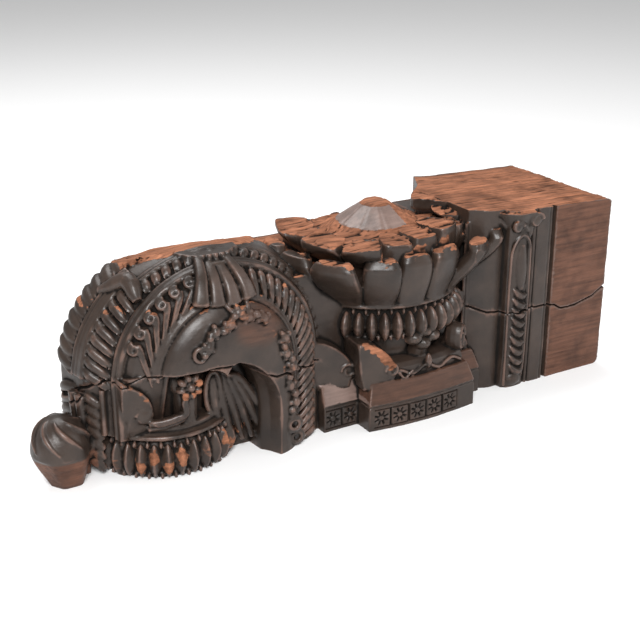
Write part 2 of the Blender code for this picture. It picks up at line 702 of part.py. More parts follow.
def make_spray(material):
    """The blunt petals that hang from the crown of the arch, under a short ragged fringe."""
    made = []
    height = ARCH_SPRING + OUTER_LINE[1] + SPRAY_WIDTH * 0.9
    crown = Vector((ARCH_X, CABLE_LINE[2] - RIB_RADIUS, height))
    for k in range(SPRAY_PETALS):
        turn = radians((k - (SPRAY_PETALS - 1) / 2) * 20 - 4)
        down = Vector((sin(turn), 0, -cos(turn)))
        rings = []
        for share, wide, thick, reach in ((0, 0.5, 0.6, 0.1), (0.4, 0.8, 0.9, 0.7), (0.85, 1.1, 1.1, 1.0),
                                          (1.05, 0.7, 0.4, 0.85)):
            centre = crown + down * (SPRAY_LENGTH * share) - Vector((0, SPRAY_REACH * reach, 0))
            side = Vector((cos(turn), 0, sin(turn))) * (SPRAY_WIDTH * wide)
            depth = Vector((0, SPRAY_WIDTH * thick * 1.1, 0))
            rings.append([
                centre - side, centre - side * 0.3 - depth * 0.7, centre + side * 0.3 - depth * 0.7,
                centre + side, centre + side * 0.7 + depth * 1.6, centre - side * 0.7 + depth * 1.6,
            ])
        made.append(loft(f"spray_{k}", rings, material))
    half = SPRAY_FRINGE / 2
    outline = [(-1, 0.1), (-0.5, -0.25), (0.4, -0.28), (1, 0), (0.7, 0.7), (-0.7, 0.7)]
    rings = [[crown + Vector((half * u, SPRAY_REACH * v, z)) for u, v in outline]
             for z in (-SPRAY_WIDTH * 0.8, SPRAY_WIDTH * 0.35)]
    made.append(loft("fringe", rings, material))
    return made


def make_foot(material):
    """The beaded ring at the arch's foot, with its fillets, the fin and the rosette on it."""
    centre = (FOOT_X, -FOOT_BEHIND)
    top = FOOT_HEIGHT + 2 * FILLET_HEIGHT
    lower, upper = FOOT_RADIUS - FILLET_STEP * 0.4, FOOT_RADIUS - FILLET_STEP * 1.8
    profile = [
        (FOOT_RADIUS * 0.88, -SUNK), (FOOT_RADIUS, FOOT_HEIGHT * 0.5), (FOOT_RADIUS * 0.93, FOOT_HEIGHT),
        (lower, FOOT_HEIGHT + FILLET_HEIGHT * 0.2), (lower, FOOT_HEIGHT + FILLET_HEIGHT),
        (upper, FOOT_HEIGHT + FILLET_HEIGHT * 1.2), (upper, top),
    ]
    made = [turned("foot_ring", centre, profile, 28, material)]
    half_width = pi * FOOT_RADIUS / FOOT_BEADS * 1.02
    widest = int(FOOT_BEADS * 0.32)
    for k in range(-widest, widest + 1):
        turn = 2 * pi * k / FOOT_BEADS - radians(8)
        out = Vector((sin(turn), -cos(turn), 0))
        place = Vector((*centre, FOOT_HEIGHT * 0.5)) + out * FOOT_RADIUS
        made.append(lozenge(f"foot_bead_{k + widest:02d}", place, out, half_width, FOOT_HEIGHT * 0.47,
                            FOOT_BEAD_SWELL, 4, material))
    fin_x, fin_y = FOOT_X - FOOT_RADIUS * 0.80, -FOOT_BEHIND - FOOT_RADIUS * 0.62
    outline = [(0, -0.2), (-0.05, 0.5), (0.02, 1.0), (0.45, 0.82), (0.85, 0.45), (1.0, 0.1), (0.95, -0.2)]
    rings = [[Vector((fin_x + FIN_WIDTH * u, fin_y + depth - FIN_THICKNESS * 0.5 * u, top + FIN_HEIGHT * v))
              for u, v in outline] for depth in (-FIN_THICKNESS / 2, FIN_THICKNESS * 1.8)]
    made.append(loft("fin", rings, material))
    place = (FOOT_X + FOOT_RADIUS * 0.08, INNER_LINE[2] + ROSETTE_RADIUS * 0.1, top + ROSETTE_RADIUS * 3)
    flower = Vector(place)
    for k in range(6):
        turn = 2 * pi * k / 6
        petal = flower + Vector((cos(turn), 0, sin(turn))) * (ROSETTE_RADIUS * 0.66)
        made.append(lozenge(f"rosette_{k}", petal, Vector((0, -1, 0)), ROSETTE_RADIUS * 0.42,
                            ROSETTE_RADIUS * 0.42, ROSETTE_RADIUS * 0.5, 5, material))
    made.append(lozenge("rosette_eye", flower, Vector((0, -1, 0)), ROSETTE_RADIUS * 0.5, ROSETTE_RADIUS * 0.5,
                        ROSETTE_RADIUS * 0.7, 6, material))
    bends = ((1.2, -3.4), (1, 0), (1.2, 1.6))
    stalk = [flower + Vector((0, back, rise)) * ROSETTE_RADIUS for back, rise in bends]
    wide = (ROSETTE_RADIUS * 0.9, ROSETTE_RADIUS)
    made.append(horn("rosette_back", stalk, [wide, wide, wide], Vector((0, -1, 0)), 6, material))
    return made


def make_bud(material):
    """The round bud at the tip, on a short neck."""
    centre = Vector((BUD_X, -BUD_BEFORE, BUD_LIFT))
    steps, rings = 12, []
    for k in range(9):
        turn = pi * k / 8
        radius, z = BUD_RADIUS * sin(turn), -BUD_HALF_HEIGHT * cos(turn)
        ring = [centre + Vector((radius * cos(t), radius * sin(t), z)) for t in
                [2 * pi * i / steps for i in range(steps)]]
        rings.append(ring if 0 < k < 8 else [centre + Vector((0, 0, z))])
    made = [loft("bud", rings, material)]
    neck_end = Vector((FOOT_X - FOOT_RADIUS * 0.5, -FOOT_BEHIND, BUD_LIFT * 0.7))
    wide = (BUD_RADIUS * 0.6, BUD_RADIUS * 0.55)
    made.append(horn("bud_neck", [centre, (centre + neck_end) / 2, neck_end], [wide, wide, wide],
                     Vector((0, 0, 1)), 8, material))
    return made


def make_trimmers(material):
    """Cutters for the flat floor, the flat back and the hewn crown of the arch."""
    far = LENGTH
    span = [(-far, -far), (far, -far), (far, far), (-far, far)]
    floor = prism("floor_cutter", span, -far, 0.0, material)
    behind = prism("back_cutter", [(x, max(y, BACK_DEPTH)) for x, y in span], -far, far, material)
    left, right = ARCH_X - KEEL_LINE[0] * 1.3, ARCH_X + KEEL_LINE[0] * 0.8
    start = CABLE_LINE[2]
    fall = (ARCH_TOP_BACK - ARCH_TOP) / (BACK_DEPTH - start)
    rings = []
    for y in (start, far):
        z = ARCH_TOP + fall * (y - start)
        corners = ((left, z), (right, z), (right, far), (left, far))
        rings.append([Vector((x, y, level)) for x, level in corners])
    top = loft("crown_cutter", rings, material)
    return [floor, behind, top]


def boolean(target, operation, others, name, solver="EXACT"):
    """Join or cut the target with hidden helper objects, gathered in their own collection."""
    group = bpy.data.collections.new(name)
    bpy.context.scene.collection.children.link(group)
    for helper in others:
        bpy.context.scene.collection.objects.unlink(helper)
        group.objects.link(helper)
        helper.hide_render = True
        helper.display_type = "WIRE"
    modifier = target.modifiers.new(name, "BOOLEAN")
    modifier.operation = operation
    modifier.operand_type = "COLLECTION"
    modifier.collection = group
    modifier.solver = solver
    if solver == "EXACT":
        modifier.use_self = operation == "UNION"


def main():
    """Build the bracket: join the carved forms to the core, then cut the niche and the flat faces."""
    clear_scene()
    material = wood()
    bracket = make_core(material)
    block, rounding = make_block(material)
    forms = block + make_shelf(material) + make_strip_leaves(material) + make_plinth(material)
    forms += make_bead_ring(material) + make_lotus(material) + make_scrolls(material)
    hood = make_arch_body(material)
    boolean(bracket, "UNION", forms + hood, "main_forms")
    boolean(bracket, "DIFFERENCE", make_openings(material) + make_tear(material) + rounding, "openings")
    carving = make_arch_bands(material) + make_garland(material) + make_spray(material)
    carving += make_foot(material) + make_bud(material)
    boolean(bracket, "UNION", carving, "carving")
    boolean(bracket, "DIFFERENCE", make_trimmers(material), "flat_faces", "MANIFOLD")
    for made in bpy.data.objects:
        made.location.y = MIDDLE_Y


main()
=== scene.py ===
"""The looks of a carved timber bracket: its carving, its worn and broken surfaces, and the studio around it.

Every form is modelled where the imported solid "bracket" has it. All the carved forms are joined, drawn into
one skin, worn, cracked and hewn, and then parted into three pieces at two creases of the carving.
Sizes are in metres. X runs from the bud to the sawn end, Y from the front to the back, Z up.
"""

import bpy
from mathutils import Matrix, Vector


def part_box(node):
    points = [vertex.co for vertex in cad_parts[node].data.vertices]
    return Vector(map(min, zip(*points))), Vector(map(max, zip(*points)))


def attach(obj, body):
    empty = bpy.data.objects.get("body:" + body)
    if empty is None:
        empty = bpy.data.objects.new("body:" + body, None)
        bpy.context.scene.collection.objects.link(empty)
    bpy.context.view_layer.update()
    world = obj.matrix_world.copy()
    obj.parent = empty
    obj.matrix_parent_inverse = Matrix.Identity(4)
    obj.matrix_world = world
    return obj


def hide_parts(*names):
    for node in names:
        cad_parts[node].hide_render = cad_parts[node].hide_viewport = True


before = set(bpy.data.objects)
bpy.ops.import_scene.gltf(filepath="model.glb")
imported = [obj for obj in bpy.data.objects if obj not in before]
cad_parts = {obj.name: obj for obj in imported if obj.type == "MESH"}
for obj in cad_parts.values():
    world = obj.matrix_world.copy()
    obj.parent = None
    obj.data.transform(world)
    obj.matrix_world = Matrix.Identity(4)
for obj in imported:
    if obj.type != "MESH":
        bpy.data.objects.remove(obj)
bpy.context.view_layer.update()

import logging
from dataclasses import dataclass, field
from enum import Enum
from math import ceil, cos, pi, radians, sin, sqrt

import bpy
import numpy as np

LOG = logging.getLogger("bracket")
NODE = "bracket"
LOW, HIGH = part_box(NODE)
BACK_DEPTH = 0.088
SUNK = 0.012
SHIFT_Y = HIGH.y - BACK_DEPTH
END_X = HIGH.x
LOTUS_X = END_X - 0.2735
ARCH_X = LOTUS_X - 0.2295
FOOT_X = ARCH_X - 0.047
ARCH_TOP, ARCH_TOP_BACK = 0.2210, 0.1815
FRONT = np.array((0.0, -1.0, 0.0))
UP = np.array((0.0, 0.0, 1.0))
Array = np.ndarray
Solid = bpy.types.Object


def deselect() -> None:
    """Deselect every object."""
    bpy.ops.object.select_all(action="DESELECT")


def pick(*chosen: Solid) -> None:
    """Select only these objects and make the first one active."""
    deselect()
    for one in chosen:
        one.select_set(True)
    bpy.context.view_layer.objects.active = chosen[0]


def points_of(mesh: bpy.types.Mesh) -> Array:
    """The mesh's vertices as rows of x, y, z."""
    flat = np.empty(len(mesh.vertices) * 3)
    mesh.vertices.foreach_get("co", flat)
    return flat.reshape(-1, 3)


def unit(vectors: Array) -> Array:
    """Vectors brought to a length of one."""
    vectors = np.asarray(vectors, dtype=float)
    return vectors / np.maximum(np.linalg.norm(vectors, axis=-1, keepdims=True), 1e-12)


def turns(count: int, start: float = 0.0) -> Array:
    """Evenly spaced angles of one full turn."""
    return start + 2 * pi * np.arange(count) / count


def ease(value: Array, low: float, high: float) -> Array:
    """A smooth step from 0 at low to 1 at high."""
    share = np.clip((value - low) / (high - low), 0.0, 1.0)
    return share * share * (3 - 2 * share)


def spline(corners: list[tuple[float, ...]], count: int) -> Array:
    """A smooth line through corner points, read at a number of places.

    Args:
        corners: points of any dimension, in order.
        count: how many points the line gets.

    Returns:
        The line's points, one per row.
    """
    knots = np.asarray(corners, dtype=float)
    padded = np.vstack((2 * knots[0] - knots[1], knots, 2 * knots[-1] - knots[-2]))
    place = np.linspace(0, len(knots) - 1.000001, count)
    k = place.astype(int)
    t = (place - k)[:, None]
    a, b, c, d = padded[k], padded[k + 1], padded[k + 2], padded[k + 3]
    return 0.5 * (2 * b + (c - a) * t + (2 * a - 5 * b + 4 * c - d) * t ** 2
                  + (3 * b - a - 3 * c + d) * t ** 3)


class Noise:
    """Smooth random values over space, the same on every run."""

    def __init__(self, seed: int, cells: int = 48) -> None:
        """Fill a block of random values that repeats in every direction."""
        self.cells = cells
        self.block = np.random.default_rng(seed).random((cells, cells, cells))

    def at(self, places: Array, size: tuple[float, float, float] | float) -> Array:
        """Values from -1 to 1 at some places.

        Args:
            places: rows of x, y, z.
            size: length of one lump of noise, alike or along each axis.
        """
        scaled = places / np.asarray(size) + 17.3
        whole = np.floor(scaled).astype(int)
        part = scaled - whole
        part = part * part * (3 - 2 * part)
        total = np.zeros(len(places))
        for dx in (0, 1):
            for dy in (0, 1):
                for dz in (0, 1):
                    share = (part[:, 0] if dx else 1 - part[:, 0]) * (part[:, 1] if dy else 1 - part[:, 1])
                    share = share * (part[:, 2] if dz else 1 - part[:, 2])
                    i, j, k = ((whole[:, n] + step) % self.cells for n, step in enumerate((dx, dy, dz)))
                    total += share * self.block[i, j, k]
        return 2 * total - 1


class Carver:
    """Makes closed solids from ball primitives whose rings are drawn onto other rings."""

    def __init__(self) -> None:
        """Start with no primitives in stock."""
        self.stock: dict[tuple[int, int], tuple[bpy.types.Mesh, Array]] = {}

    def ball(self, rings: int, sides: int) -> tuple[bpy.types.Mesh, Array]:
        """A ball primitive's mesh, and the order of its vertices from pole to pole, ring by ring."""
        if (rings, sides) not in self.stock:
            deselect()
            bpy.ops.mesh.primitive_uv_sphere_add(segments=sides, ring_count=rings + 1, radius=1.0)
            added = bpy.context.object
            spots = points_of(added.data)
            level = np.round(spots[:, 2], 5)
            turn = (np.arctan2(spots[:, 1], spots[:, 0]) + 0.001) % (2 * pi)
            self.stock[rings, sides] = (added.data.copy(), np.lexsort((turn, level)))
            bpy.data.objects.remove(added)
        return self.stock[rings, sides]

    def skin(self, name: str, rings: Array) -> Solid:
        """A closed solid through rings of points, all with as many points."""
        rings = np.asarray(rings, dtype=float)
        count, sides = rings.shape[:2]
        start, order = self.ball(count, sides)
        mesh = start.copy()
        spots = np.empty((count * sides + 2, 3))
        spots[order[0]] = rings[0].mean(0)
        spots[order[1:-1]] = rings.reshape(-1, 3)
        spots[order[-1]] = rings[-1].mean(0)
        mesh.vertices.foreach_set("co", spots.ravel())
        mesh.calc_loop_triangles()
        corners = np.empty(len(mesh.loop_triangles) * 3, dtype=np.int32)
        mesh.loop_triangles.foreach_get("vertices", corners)
        a, b, c = (spots[corners[k::3]] for k in range(3))
        if np.einsum("ij,ij->", a, np.cross(b, c)) < 0:
            mesh.flip_normals()
        mesh.update()
        made = bpy.data.objects.new(name, mesh)
        bpy.context.scene.collection.objects.link(made)
        return made

    def tube(self, name: str, path: Array, radii: Array, facing: Array, sides: int = 10,
             square: float = 1.0) -> Solid:
        """A rounded strand along a path.

        Args:
            path: rows of points.
            radii: half width and half thickness at each point, or one number for each.
            facing: the way the strand's thickness points, for all points or for each.
            sides: points around the strand.
            square: below 1 the section is boxier, above 1 it is more pointed.
        """
        path, radii = np.asarray(path, dtype=float), np.asarray(radii, dtype=float)
        if radii.ndim == 1:
            radii = np.stack((radii, radii), axis=1)
        ahead = unit(np.gradient(path, axis=0))
        across = unit(np.cross(ahead, np.broadcast_to(facing, path.shape)))
        out = np.cross(across, ahead)
        turn = turns(sides, pi / sides)
        wide = np.sign(np.cos(turn)) * np.abs(np.cos(turn)) ** square
        thick = np.sign(np.sin(turn)) * np.abs(np.sin(turn)) ** square
        rings = path[:, None] + across[:, None] * (radii[:, :1] * wide)[..., None]
        return self.skin(name, rings + out[:, None] * (radii[:, 1:] * thick)[..., None])

    def turned(self, name: str, centre: tuple[float, float], profile: list[tuple[float, float]],
               sides: int = 72) -> Solid:
        """A solid turned about an upright line, from a profile of (radius, height)."""
        turn = turns(sides)
        flat = np.stack((np.cos(turn), np.sin(turn), np.zeros(sides)), axis=1)
        base = np.array((*centre, 0.0))
        return self.skin(name, [base + flat * radius + UP * z for radius, z in profile])

    def prism(self, name: str, outline: Array, levels: list[float], grow: list[float] | None = None) -> Solid:
        """A plan outline raised through levels, scaled about its middle at each by grow."""
        outline = np.asarray(outline, dtype=float)
        middle = outline.mean(0)
        rings = []
        for level, share in zip(levels, grow or [1.0] * len(levels)):
            flat = middle + (outline - middle) * share
            height = level(flat[:, 0]) if callable(level) else np.full(len(flat), level)
            rings.append(np.column_stack((flat, height)))
        return self.skin(name, rings)

    def bead(self, name: str, centre: Array, axes: tuple[Array, Array, Array], rings: int = 7,
             sides: int = 10, point: float = 1.0, square: float = 1.0) -> Solid:
        """A lump with its length, width and thickness along three axes given at their half sizes.

        Args:
            centre: its middle.
            axes: half length, half width and half thickness, each as a vector.
            rings: rings between its tips.
            sides: points around it.
            point: above 1 its tips are more pointed.
            square: above 1 its section is a lozenge, below 1 a box.
        """
        level = -np.cos(pi * (np.arange(rings) + 0.7) / (rings + 0.4))
        wide = (1 - np.abs(level) ** (2 / point)) ** (0.5 * point + 0.1)
        turn = turns(sides, 0.0)
        across = np.sign(np.cos(turn)) * np.abs(np.cos(turn)) ** square
        out = np.sign(np.sin(turn)) * np.abs(np.sin(turn)) ** square
        long, side, face = (np.asarray(axis, dtype=float) for axis in axes)
        rows = []
        for z, w in zip(level, wide):
            rows.append(centre + long * z + w * (np.outer(across, side) + np.outer(out, face)))
        return self.skin(name, rows)


CARVER = Carver()
NOISE = Noise(11)


def boolean(target: Solid, operation: str, helper: Solid) -> None:
    """Join a solid with another or cut it by it, and remove the other."""
    pick(target)
    modifier = target.modifiers.new(operation.lower(), "BOOLEAN")
    modifier.operation = operation
    modifier.object = helper
    modifier.solver = "MANIFOLD"
    bpy.ops.object.modifier_apply(modifier=modifier.name)
    bpy.data.objects.remove(helper)


def joined(name: str, solids: list[Solid]) -> Solid:
    """Bring solids together in one object."""
    pick(*solids)
    bpy.ops.object.join()
    made = bpy.context.object
    made.name = name
    return made


@dataclass
class Arch:
    """The round-headed arch: bands of carving on a stepped head about a smooth hood with an opening."""

    x: float = ARCH_X
    spring: float = 0.100
    lines: tuple[tuple[float, float, float], ...] = (
        (0.0765, 0.081, -0.081), (0.099, 0.100, -0.072), (0.110, 0.110, -0.062), (0.131, 0.120, -0.038),
        (0.137, 0.124, -0.022), (0.1435, 0.127, 0.008), (0.121, 0.105, 0.045), (0.099, 0.075, 0.088),
    )
    hood_swell: float = 0.021
    niche_width: float = 0.056
    niche_height: float = 0.117
    niche_shift: float = 0.0095
    niche_depth: float = 0.030
    niche_splay: float = 0.020
    recess_top: float = 0.106
    recess_depth: float = 0.024
    lobe_pitch: float = 0.0138
    barb_pitch: float = 0.0125
    scroll_pitch: float = 0.0165
    garland: tuple[tuple[float, float], ...] = (
        (-0.036, 0.136), (-0.025, 0.149), (-0.012, 0.158), (0.004, 0.166), (0.013, 0.167), (0.028, 0.160),
        (0.043, 0.148), (0.054, 0.134), (0.061, 0.118), (0.064, 0.100), (0.067, 0.078), (0.069, 0.056),
        (0.071, 0.038),
    )

    def line(self, w: Array) -> Array:
        """Half width, rise and depth of the arch line at a place across the bands."""
        table = np.array(self.lines)
        spot = np.clip(np.asarray(w, dtype=float), 0, len(table) - 1)
        return np.stack([np.interp(spot, np.arange(len(table)), table[:, k]) for k in range(3)], axis=-1)

    def length(self, w: float) -> float:
        """Length of an arch line from foot to foot."""
        half, rise, _ = self.line(w)
        return 2 * (self.spring + SUNK) + pi * sqrt((half * half + rise * rise) / 2)

    def at(self, w: Array, share: Array) -> Array:
        """Points on the bands, at places across them and at shares of the way from the left foot."""
        w, share = np.broadcast_arrays(np.asarray(w, dtype=float), np.asarray(share, dtype=float))
        half, rise, y = np.moveaxis(self.line(w), -1, 0)
        leg = self.spring + SUNK
        curve = pi * np.sqrt((half * half + rise * rise) / 2)
        travel = share * (2 * leg + curve)
        turn = np.clip((travel - leg) / curve, 0, 1) * pi
        z = self.spring + rise * np.sin(turn)
        z = np.where(travel < leg, travel - SUNK, z)
        z = np.where(travel > leg + curve, 2 * leg + curve - travel - SUNK, z)
        return np.stack((self.x - half * np.cos(turn), y, z), axis=-1)

    def out(self, w: Array, share: Array) -> Array:
        """The way out of the bands' surface."""
        step = 0.01
        over = self.at(np.asarray(w) + step * 5, share) - self.at(np.asarray(w) - step * 5, share)
        along = self.at(w, np.asarray(share) + step) - self.at(w, np.asarray(share) - step)
        return unit(np.cross(along, over))

    def on(self, share: float, places: list[tuple[float, float, float]], count: int) -> tuple[Array, Array]:
        """A smooth line drawn on the bands.

        Args:
            share: where on the arch it belongs.
            places: place across the bands, distance along them and height above them.
            count: points on the line.

        Returns:
            The line's points and the way out at each.
        """
        drawn = spline(places, count)
        shares = share + drawn[:, 1] / self.length(3)
        out = self.out(drawn[:, 0], shares)
        return self.at(drawn[:, 0], shares) + out * drawn[:, 2:3], out

    def ring(self, half: float, rise: float, y: float, steps: int = 56) -> Array:
        """One arch line as a ring that closes below the floor."""
        turn = pi * np.arange(steps + 1) / steps
        head = np.column_stack((self.x - half * np.cos(turn), np.full(steps + 1, y),
                                self.spring + rise * np.sin(turn)))
        foot = (-SUNK, self.spring * 0.45)
        left = [(self.x - half, y, z) for z in foot]
        right = [(self.x + half, y, z) for z in reversed(foot)]
        return np.vstack((left, head, right))

    def body(self) -> Solid:
        """The stepped head with its smooth hood, cut by the openings."""
        half, rise, y = self.lines[-1]
        rings = [self.ring(*line) for line in self.lines] + [self.ring(half, rise, y + SUNK)]
        made = CARVER.skin("arch_head", rings)
        half, rise, y = self.lines[0]
        hood = [self.ring(half * 0.985, rise * 0.985, y + SUNK)]
        for share in (0.975, 0.95, 0.91, 0.86, 0.79, 0.70, 0.60, 0.48, 0.35, 0.20):
            hood.append(self.ring(half * share, rise * share, y - self.hood_swell * sqrt(1 - share ** 3.2)))
        boolean(made, "UNION", CARVER.skin("hood", hood))
        for cutter in self.cutters():
            boolean(made, "DIFFERENCE", cutter)
        return made

    def cutters(self) -> list[Solid]:
        """The pointed opening, the recess beside it and the room for the beaded ring."""
        y = self.lines[0][2]
        front = y - self.hood_swell * 1.6
        half, tall = self.niche_width / 2, self.niche_height
        corners = [(-half, -SUNK * 2), (-half, 0.25 * tall), (-half, tall * 0.6), (-half * 0.8, tall * 0.86),
                   (-half * 0.35, tall), (half * 0.15, tall * 0.96), (half * 0.62, tall * 0.83),
                   (half, tall * 0.6), (half * 1.05, 0.25 * tall), (half, -SUNK * 2)]
        outline = spline(corners, 40)
        x = self.x + self.niche_shift
        rings = []
        for depth, splay in ((front, 1.0), (y - 0.004, 0.35), (y + 0.005, 0.0), (y + self.niche_depth, -0.1)):
            slant = self.niche_splay * splay * np.maximum(outline[:, 0], 0.0) / half
            rings.append(np.column_stack((x + outline[:, 0] + slant, np.full(40, depth), outline[:, 1])))
        cuts = [CARVER.skin("niche_cutter", rings)]
        left = -(self.lines[2][0] - 0.0055) - self.niche_shift
        recess = [(left, -SUNK * 1.6), (left, 0.06), (left + 0.002, self.recess_top - 0.006),
                  (left + 0.02, self.recess_top), (-half * 0.9, self.recess_top - 0.002),
                  (-half * 0.6, 0.06), (-half * 0.5, -SUNK * 1.6)]
        outline = spline(recess, 36)
        rings = []
        for depth, lift in ((front - 0.005, 0.012), (y + self.recess_depth, 0.0)):
            tops = outline[:, 1] + np.where(outline[:, 1] > 0, lift, 0)
            rings.append(np.column_stack((x + outline[:, 0], np.full(36, depth), tops)))
        cuts.append(CARVER.skin("recess_cutter", rings))
        reach = self.lines[5][0] * 1.3
        room = [(self.x - reach, -0.13), (self.x - 0.0055, -0.13), (self.x - 0.0055, -0.038),
                (FOOT_X - 0.045, 0.0), (self.x - reach, 0.0)]
        cuts.append(CARVER.prism("ring_room_cutter", room, [-SUNK * 1.3, 0.046]))
        return cuts

    def strand(self, name: str, w: float, start: float, stop: float, radius: float, lift: float = 0.0,
               flat: float = 1.0) -> Solid:
        """A rib that follows an arch line between two shares."""
        share = np.linspace(start, stop, ceil(90 * (stop - start)) + 2)
        out = self.out(np.full(len(share), w), share)
        path = self.at(w, share) + out * lift
        sizes = np.tile((radius, radius * flat), (len(share), 1))
        return CARVER.tube(name, path, sizes, out, 10)

    def lobe(self, name: str, share: float, roots: tuple[float, float], slant: float, size: float,
             lift: float) -> list[Solid]:
        """One fat, curled leaf lobe across a band, with a raised lip along its lower edge."""
        root, tip = roots
        middle = (root + tip) / 2
        places = [(root, -slant * 0.2, lift * 0.1), (root + (middle - root) * 0.6, slant * 0.05, lift * 0.8),
                  (middle + (tip - middle) * 0.4, slant * 0.42, lift), (tip, slant, lift * 0.35)]
        path, out = self.on(share, places, 9)
        wide = size * np.array((0.30, 0.62, 0.86, 1.0, 1.08, 1.08, 0.98, 0.80, 0.42))
        made = [CARVER.tube(name, path, np.column_stack((wide, wide * 0.8)), out, 12)]
        lip = [(w, s - size * 0.85, h + size * 0.42) for w, s, h in places]
        path, out = self.on(share, lip, 9)
        thin = size * 0.2 * np.array((0.5, 0.8, 1, 1, 1, 1, 1, 0.8, 0.5))
        made.append(CARVER.tube(name + "_lip", path, thin, out, 6))
        return made

    def scroll_leaf(self, name: str, share: float, size: float) -> list[Solid]:
        """One leaf of the inner band: a volute at its outer end and a double stalk down to the inner rib."""
        eye = self.at(1.24, share)
        out = self.out(np.array(1.24), np.array(share))
        along = unit(self.at(1.24, share + 0.005) - self.at(1.24, share - 0.005))
        across = np.cross(out, along)
        turn = np.linspace(0, 2.75 * pi, 26)
        radius = size * (1 - 0.72 * turn / turn[-1])
        around = -along * np.sin(turn - 1.0)[:, None] + across * np.cos(turn - 1.0)[:, None]
        path = eye + around * radius[:, None] + out * (0.0046 + 0.0016 * (turn / turn[-1]))[:, None]
        made = [CARVER.tube(name + "_volute", path, np.linspace(0.0024, 0.0014, 26), out, 8)]
        made.append(CARVER.bead(name + "_bed", eye, (along * size * 1.2, across * size * 1.2, out * 0.0062)))
        made.append(CARVER.bead(name + "_eye", eye + out * 0.003,
                                (along * 0.0019, across * 0.0019, out * 0.0034)))
        for k, (shift, thick) in enumerate(((0.0, 0.0024), (-0.0048, 0.0020))):
            places = [(1.10, size * 1.05 + shift, 0.0036), (0.88, size * 0.40 + shift, 0.0042),
                      (0.62, -0.0060 + shift, 0.0036), (0.38, -0.0150 + shift, 0.0026),
                      (0.22, -0.0260 + shift, 0.0010)]
            path, ways = self.on(share, places, 12)
            widths = thick * np.linspace(1.15, 0.6, 12)
            made.append(CARVER.tube(f"{name}_stalk_{k}", path, widths, ways, 8))
        return made

    def feather(self, name: str, share: float, size: float) -> list[Solid]:
        """One small curled tip of the right side's inner band."""
        places = [(0.15, 0.010, 0.0015), (0.55, 0.004, 0.0040), (1.0, -0.001, 0.0048), (1.35, -0.001, 0.0036),
                  (1.45, 0.003, 0.0022)]
        path, out = self.on(share, places, 12)
        widths = size * np.array((0.35, 0.55, 0.7, 0.85, 0.95, 1.0, 1.0, 0.95, 0.85, 0.7, 0.5, 0.3))
        return [CARVER.tube(name, path, np.column_stack((widths, widths * 0.8)), out, 9)]

    def bands(self) -> list[Solid]:
        """Ribs and rows of leaves, from the outer lobes to the feathered inner band."""
        foot = 0.062 / self.length(3)
        crack = 0.105 / self.length(3) + 0.02
        made = []
        for k, (w, start, stop, radius, lift) in enumerate((
            (0.0, 0.252, 1.0, 0.0024, 0.0012), (0.16, 0.252, 1.0, 0.0021, 0.0008),
            (1.70, foot, 1.0, 0.0018, 0.0006), (1.90, foot, 1.0, 0.0034, 0.0026),
            (2.12, foot, 1.0, 0.0030, 0.0020), (3.42, crack, 0.38, 0.0030, 0.0030),
            (3.62, crack, 0.38, 0.0034, 0.0020), (3.86, crack, 0.38, 0.0034, 0.0020),
            (4.08, crack, 0.38, 0.0028, 0.0030), (2.86, 0.37, 0.97, 0.0026, 0.0018),
            (3.05, 0.37, 0.97, 0.0020, 0.0008),
        )):
            made.append(self.strand(f"rib_{k}", w, start, stop, radius, lift))
        step = self.lobe_pitch / self.length(4)
        for k in range(14):
            share = crack + step * (k + 0.4)
            grown = 1.0 + 0.35 * max(0, k - 11)
            made += self.lobe(f"outer_lobe_{k:02d}", share, (4.12, 5.06), 0.0125 * grown, 0.0068 * grown,
                              0.0016)
        step = self.barb_pitch / self.length(3)
        for k in range(int((0.965 - crack) / step)):
            share = crack + step * (k + 0.3)
            edge, slant = (3.32, 0.0095) if share < 0.36 else (2.78, 0.0065)
            made += self.lobe(f"barb_{k:02d}", share, (2.28, edge), slant, 0.0046, 0.0024)
        step = self.scroll_pitch / self.length(1)
        for k in range(6):
            share = 0.285 + step * k
            made += self.scroll_leaf(f"scroll_leaf_{k}", share, 0.0062 - 0.0001 * k)
        for k in range(3):
            places = [(1.5, 0.012, 0.002), (1.0, 0.002, 0.0045), (0.5, -0.012, 0.004), (0.2, -0.024, 0.002)]
            path, out = self.on(0.478 + 0.026 * k, places, 12)
            widths = 0.0052 * np.sin(np.linspace(0.5, 2.8, 12))
            made.append(CARVER.tube(f"long_leaf_{k}", path, np.column_stack((widths, widths * 0.55)), out, 9))
        step = 0.0108 / self.length(1)
        for k in range(26):
            made += self.feather(f"feather_{k:02d}", 0.565 + step * k, 0.0042)
        return made

    def low_leaf(self) -> list[Solid]:
        """The leaf below the crack: a folded double rib with barbs to both sides."""
        made = []
        top = 0.085 / self.length(4)
        for k, w in enumerate((3.5, 4.0)):
            share = np.linspace(0.02, top + 0.03, 14)
            out = self.out(np.full(14, w), share)
            path = self.at(w, share) + out * (0.004 + 0.003 * np.linspace(0, 1, 14)[:, None] ** 2)
            made.append(CARVER.tube(f"low_rib_{k}", path, np.linspace(0.0035, 0.0052, 14), out, 10))
        made.append(self.strand("low_fillet", 2.55, 0.10, top + 0.05, 0.0032, 0.002))
        for k in range(7):
            share = 0.05 + k * 0.0118 / self.length(4)
            for side, (root, tip) in enumerate(((4.12, 5.0), (3.35, 2.6))):
                made += self.lobe(f"low_barb_{side}_{k}", share, (root, tip), -0.009, 0.0052, 0.0018)
        return made

    def hood_y(self, x: Array, z: Array) -> Array:
        """How far forward the hood stands at places of its front."""
        half, rise, y = self.lines[0]
        u = (np.asarray(x) - self.x) / half
        v = np.maximum(np.asarray(z) - self.spring, 0) / rise
        away = np.minimum(1.0, u * u + v * v)
        return y - self.hood_swell * np.sqrt(1 - away ** 1.6)

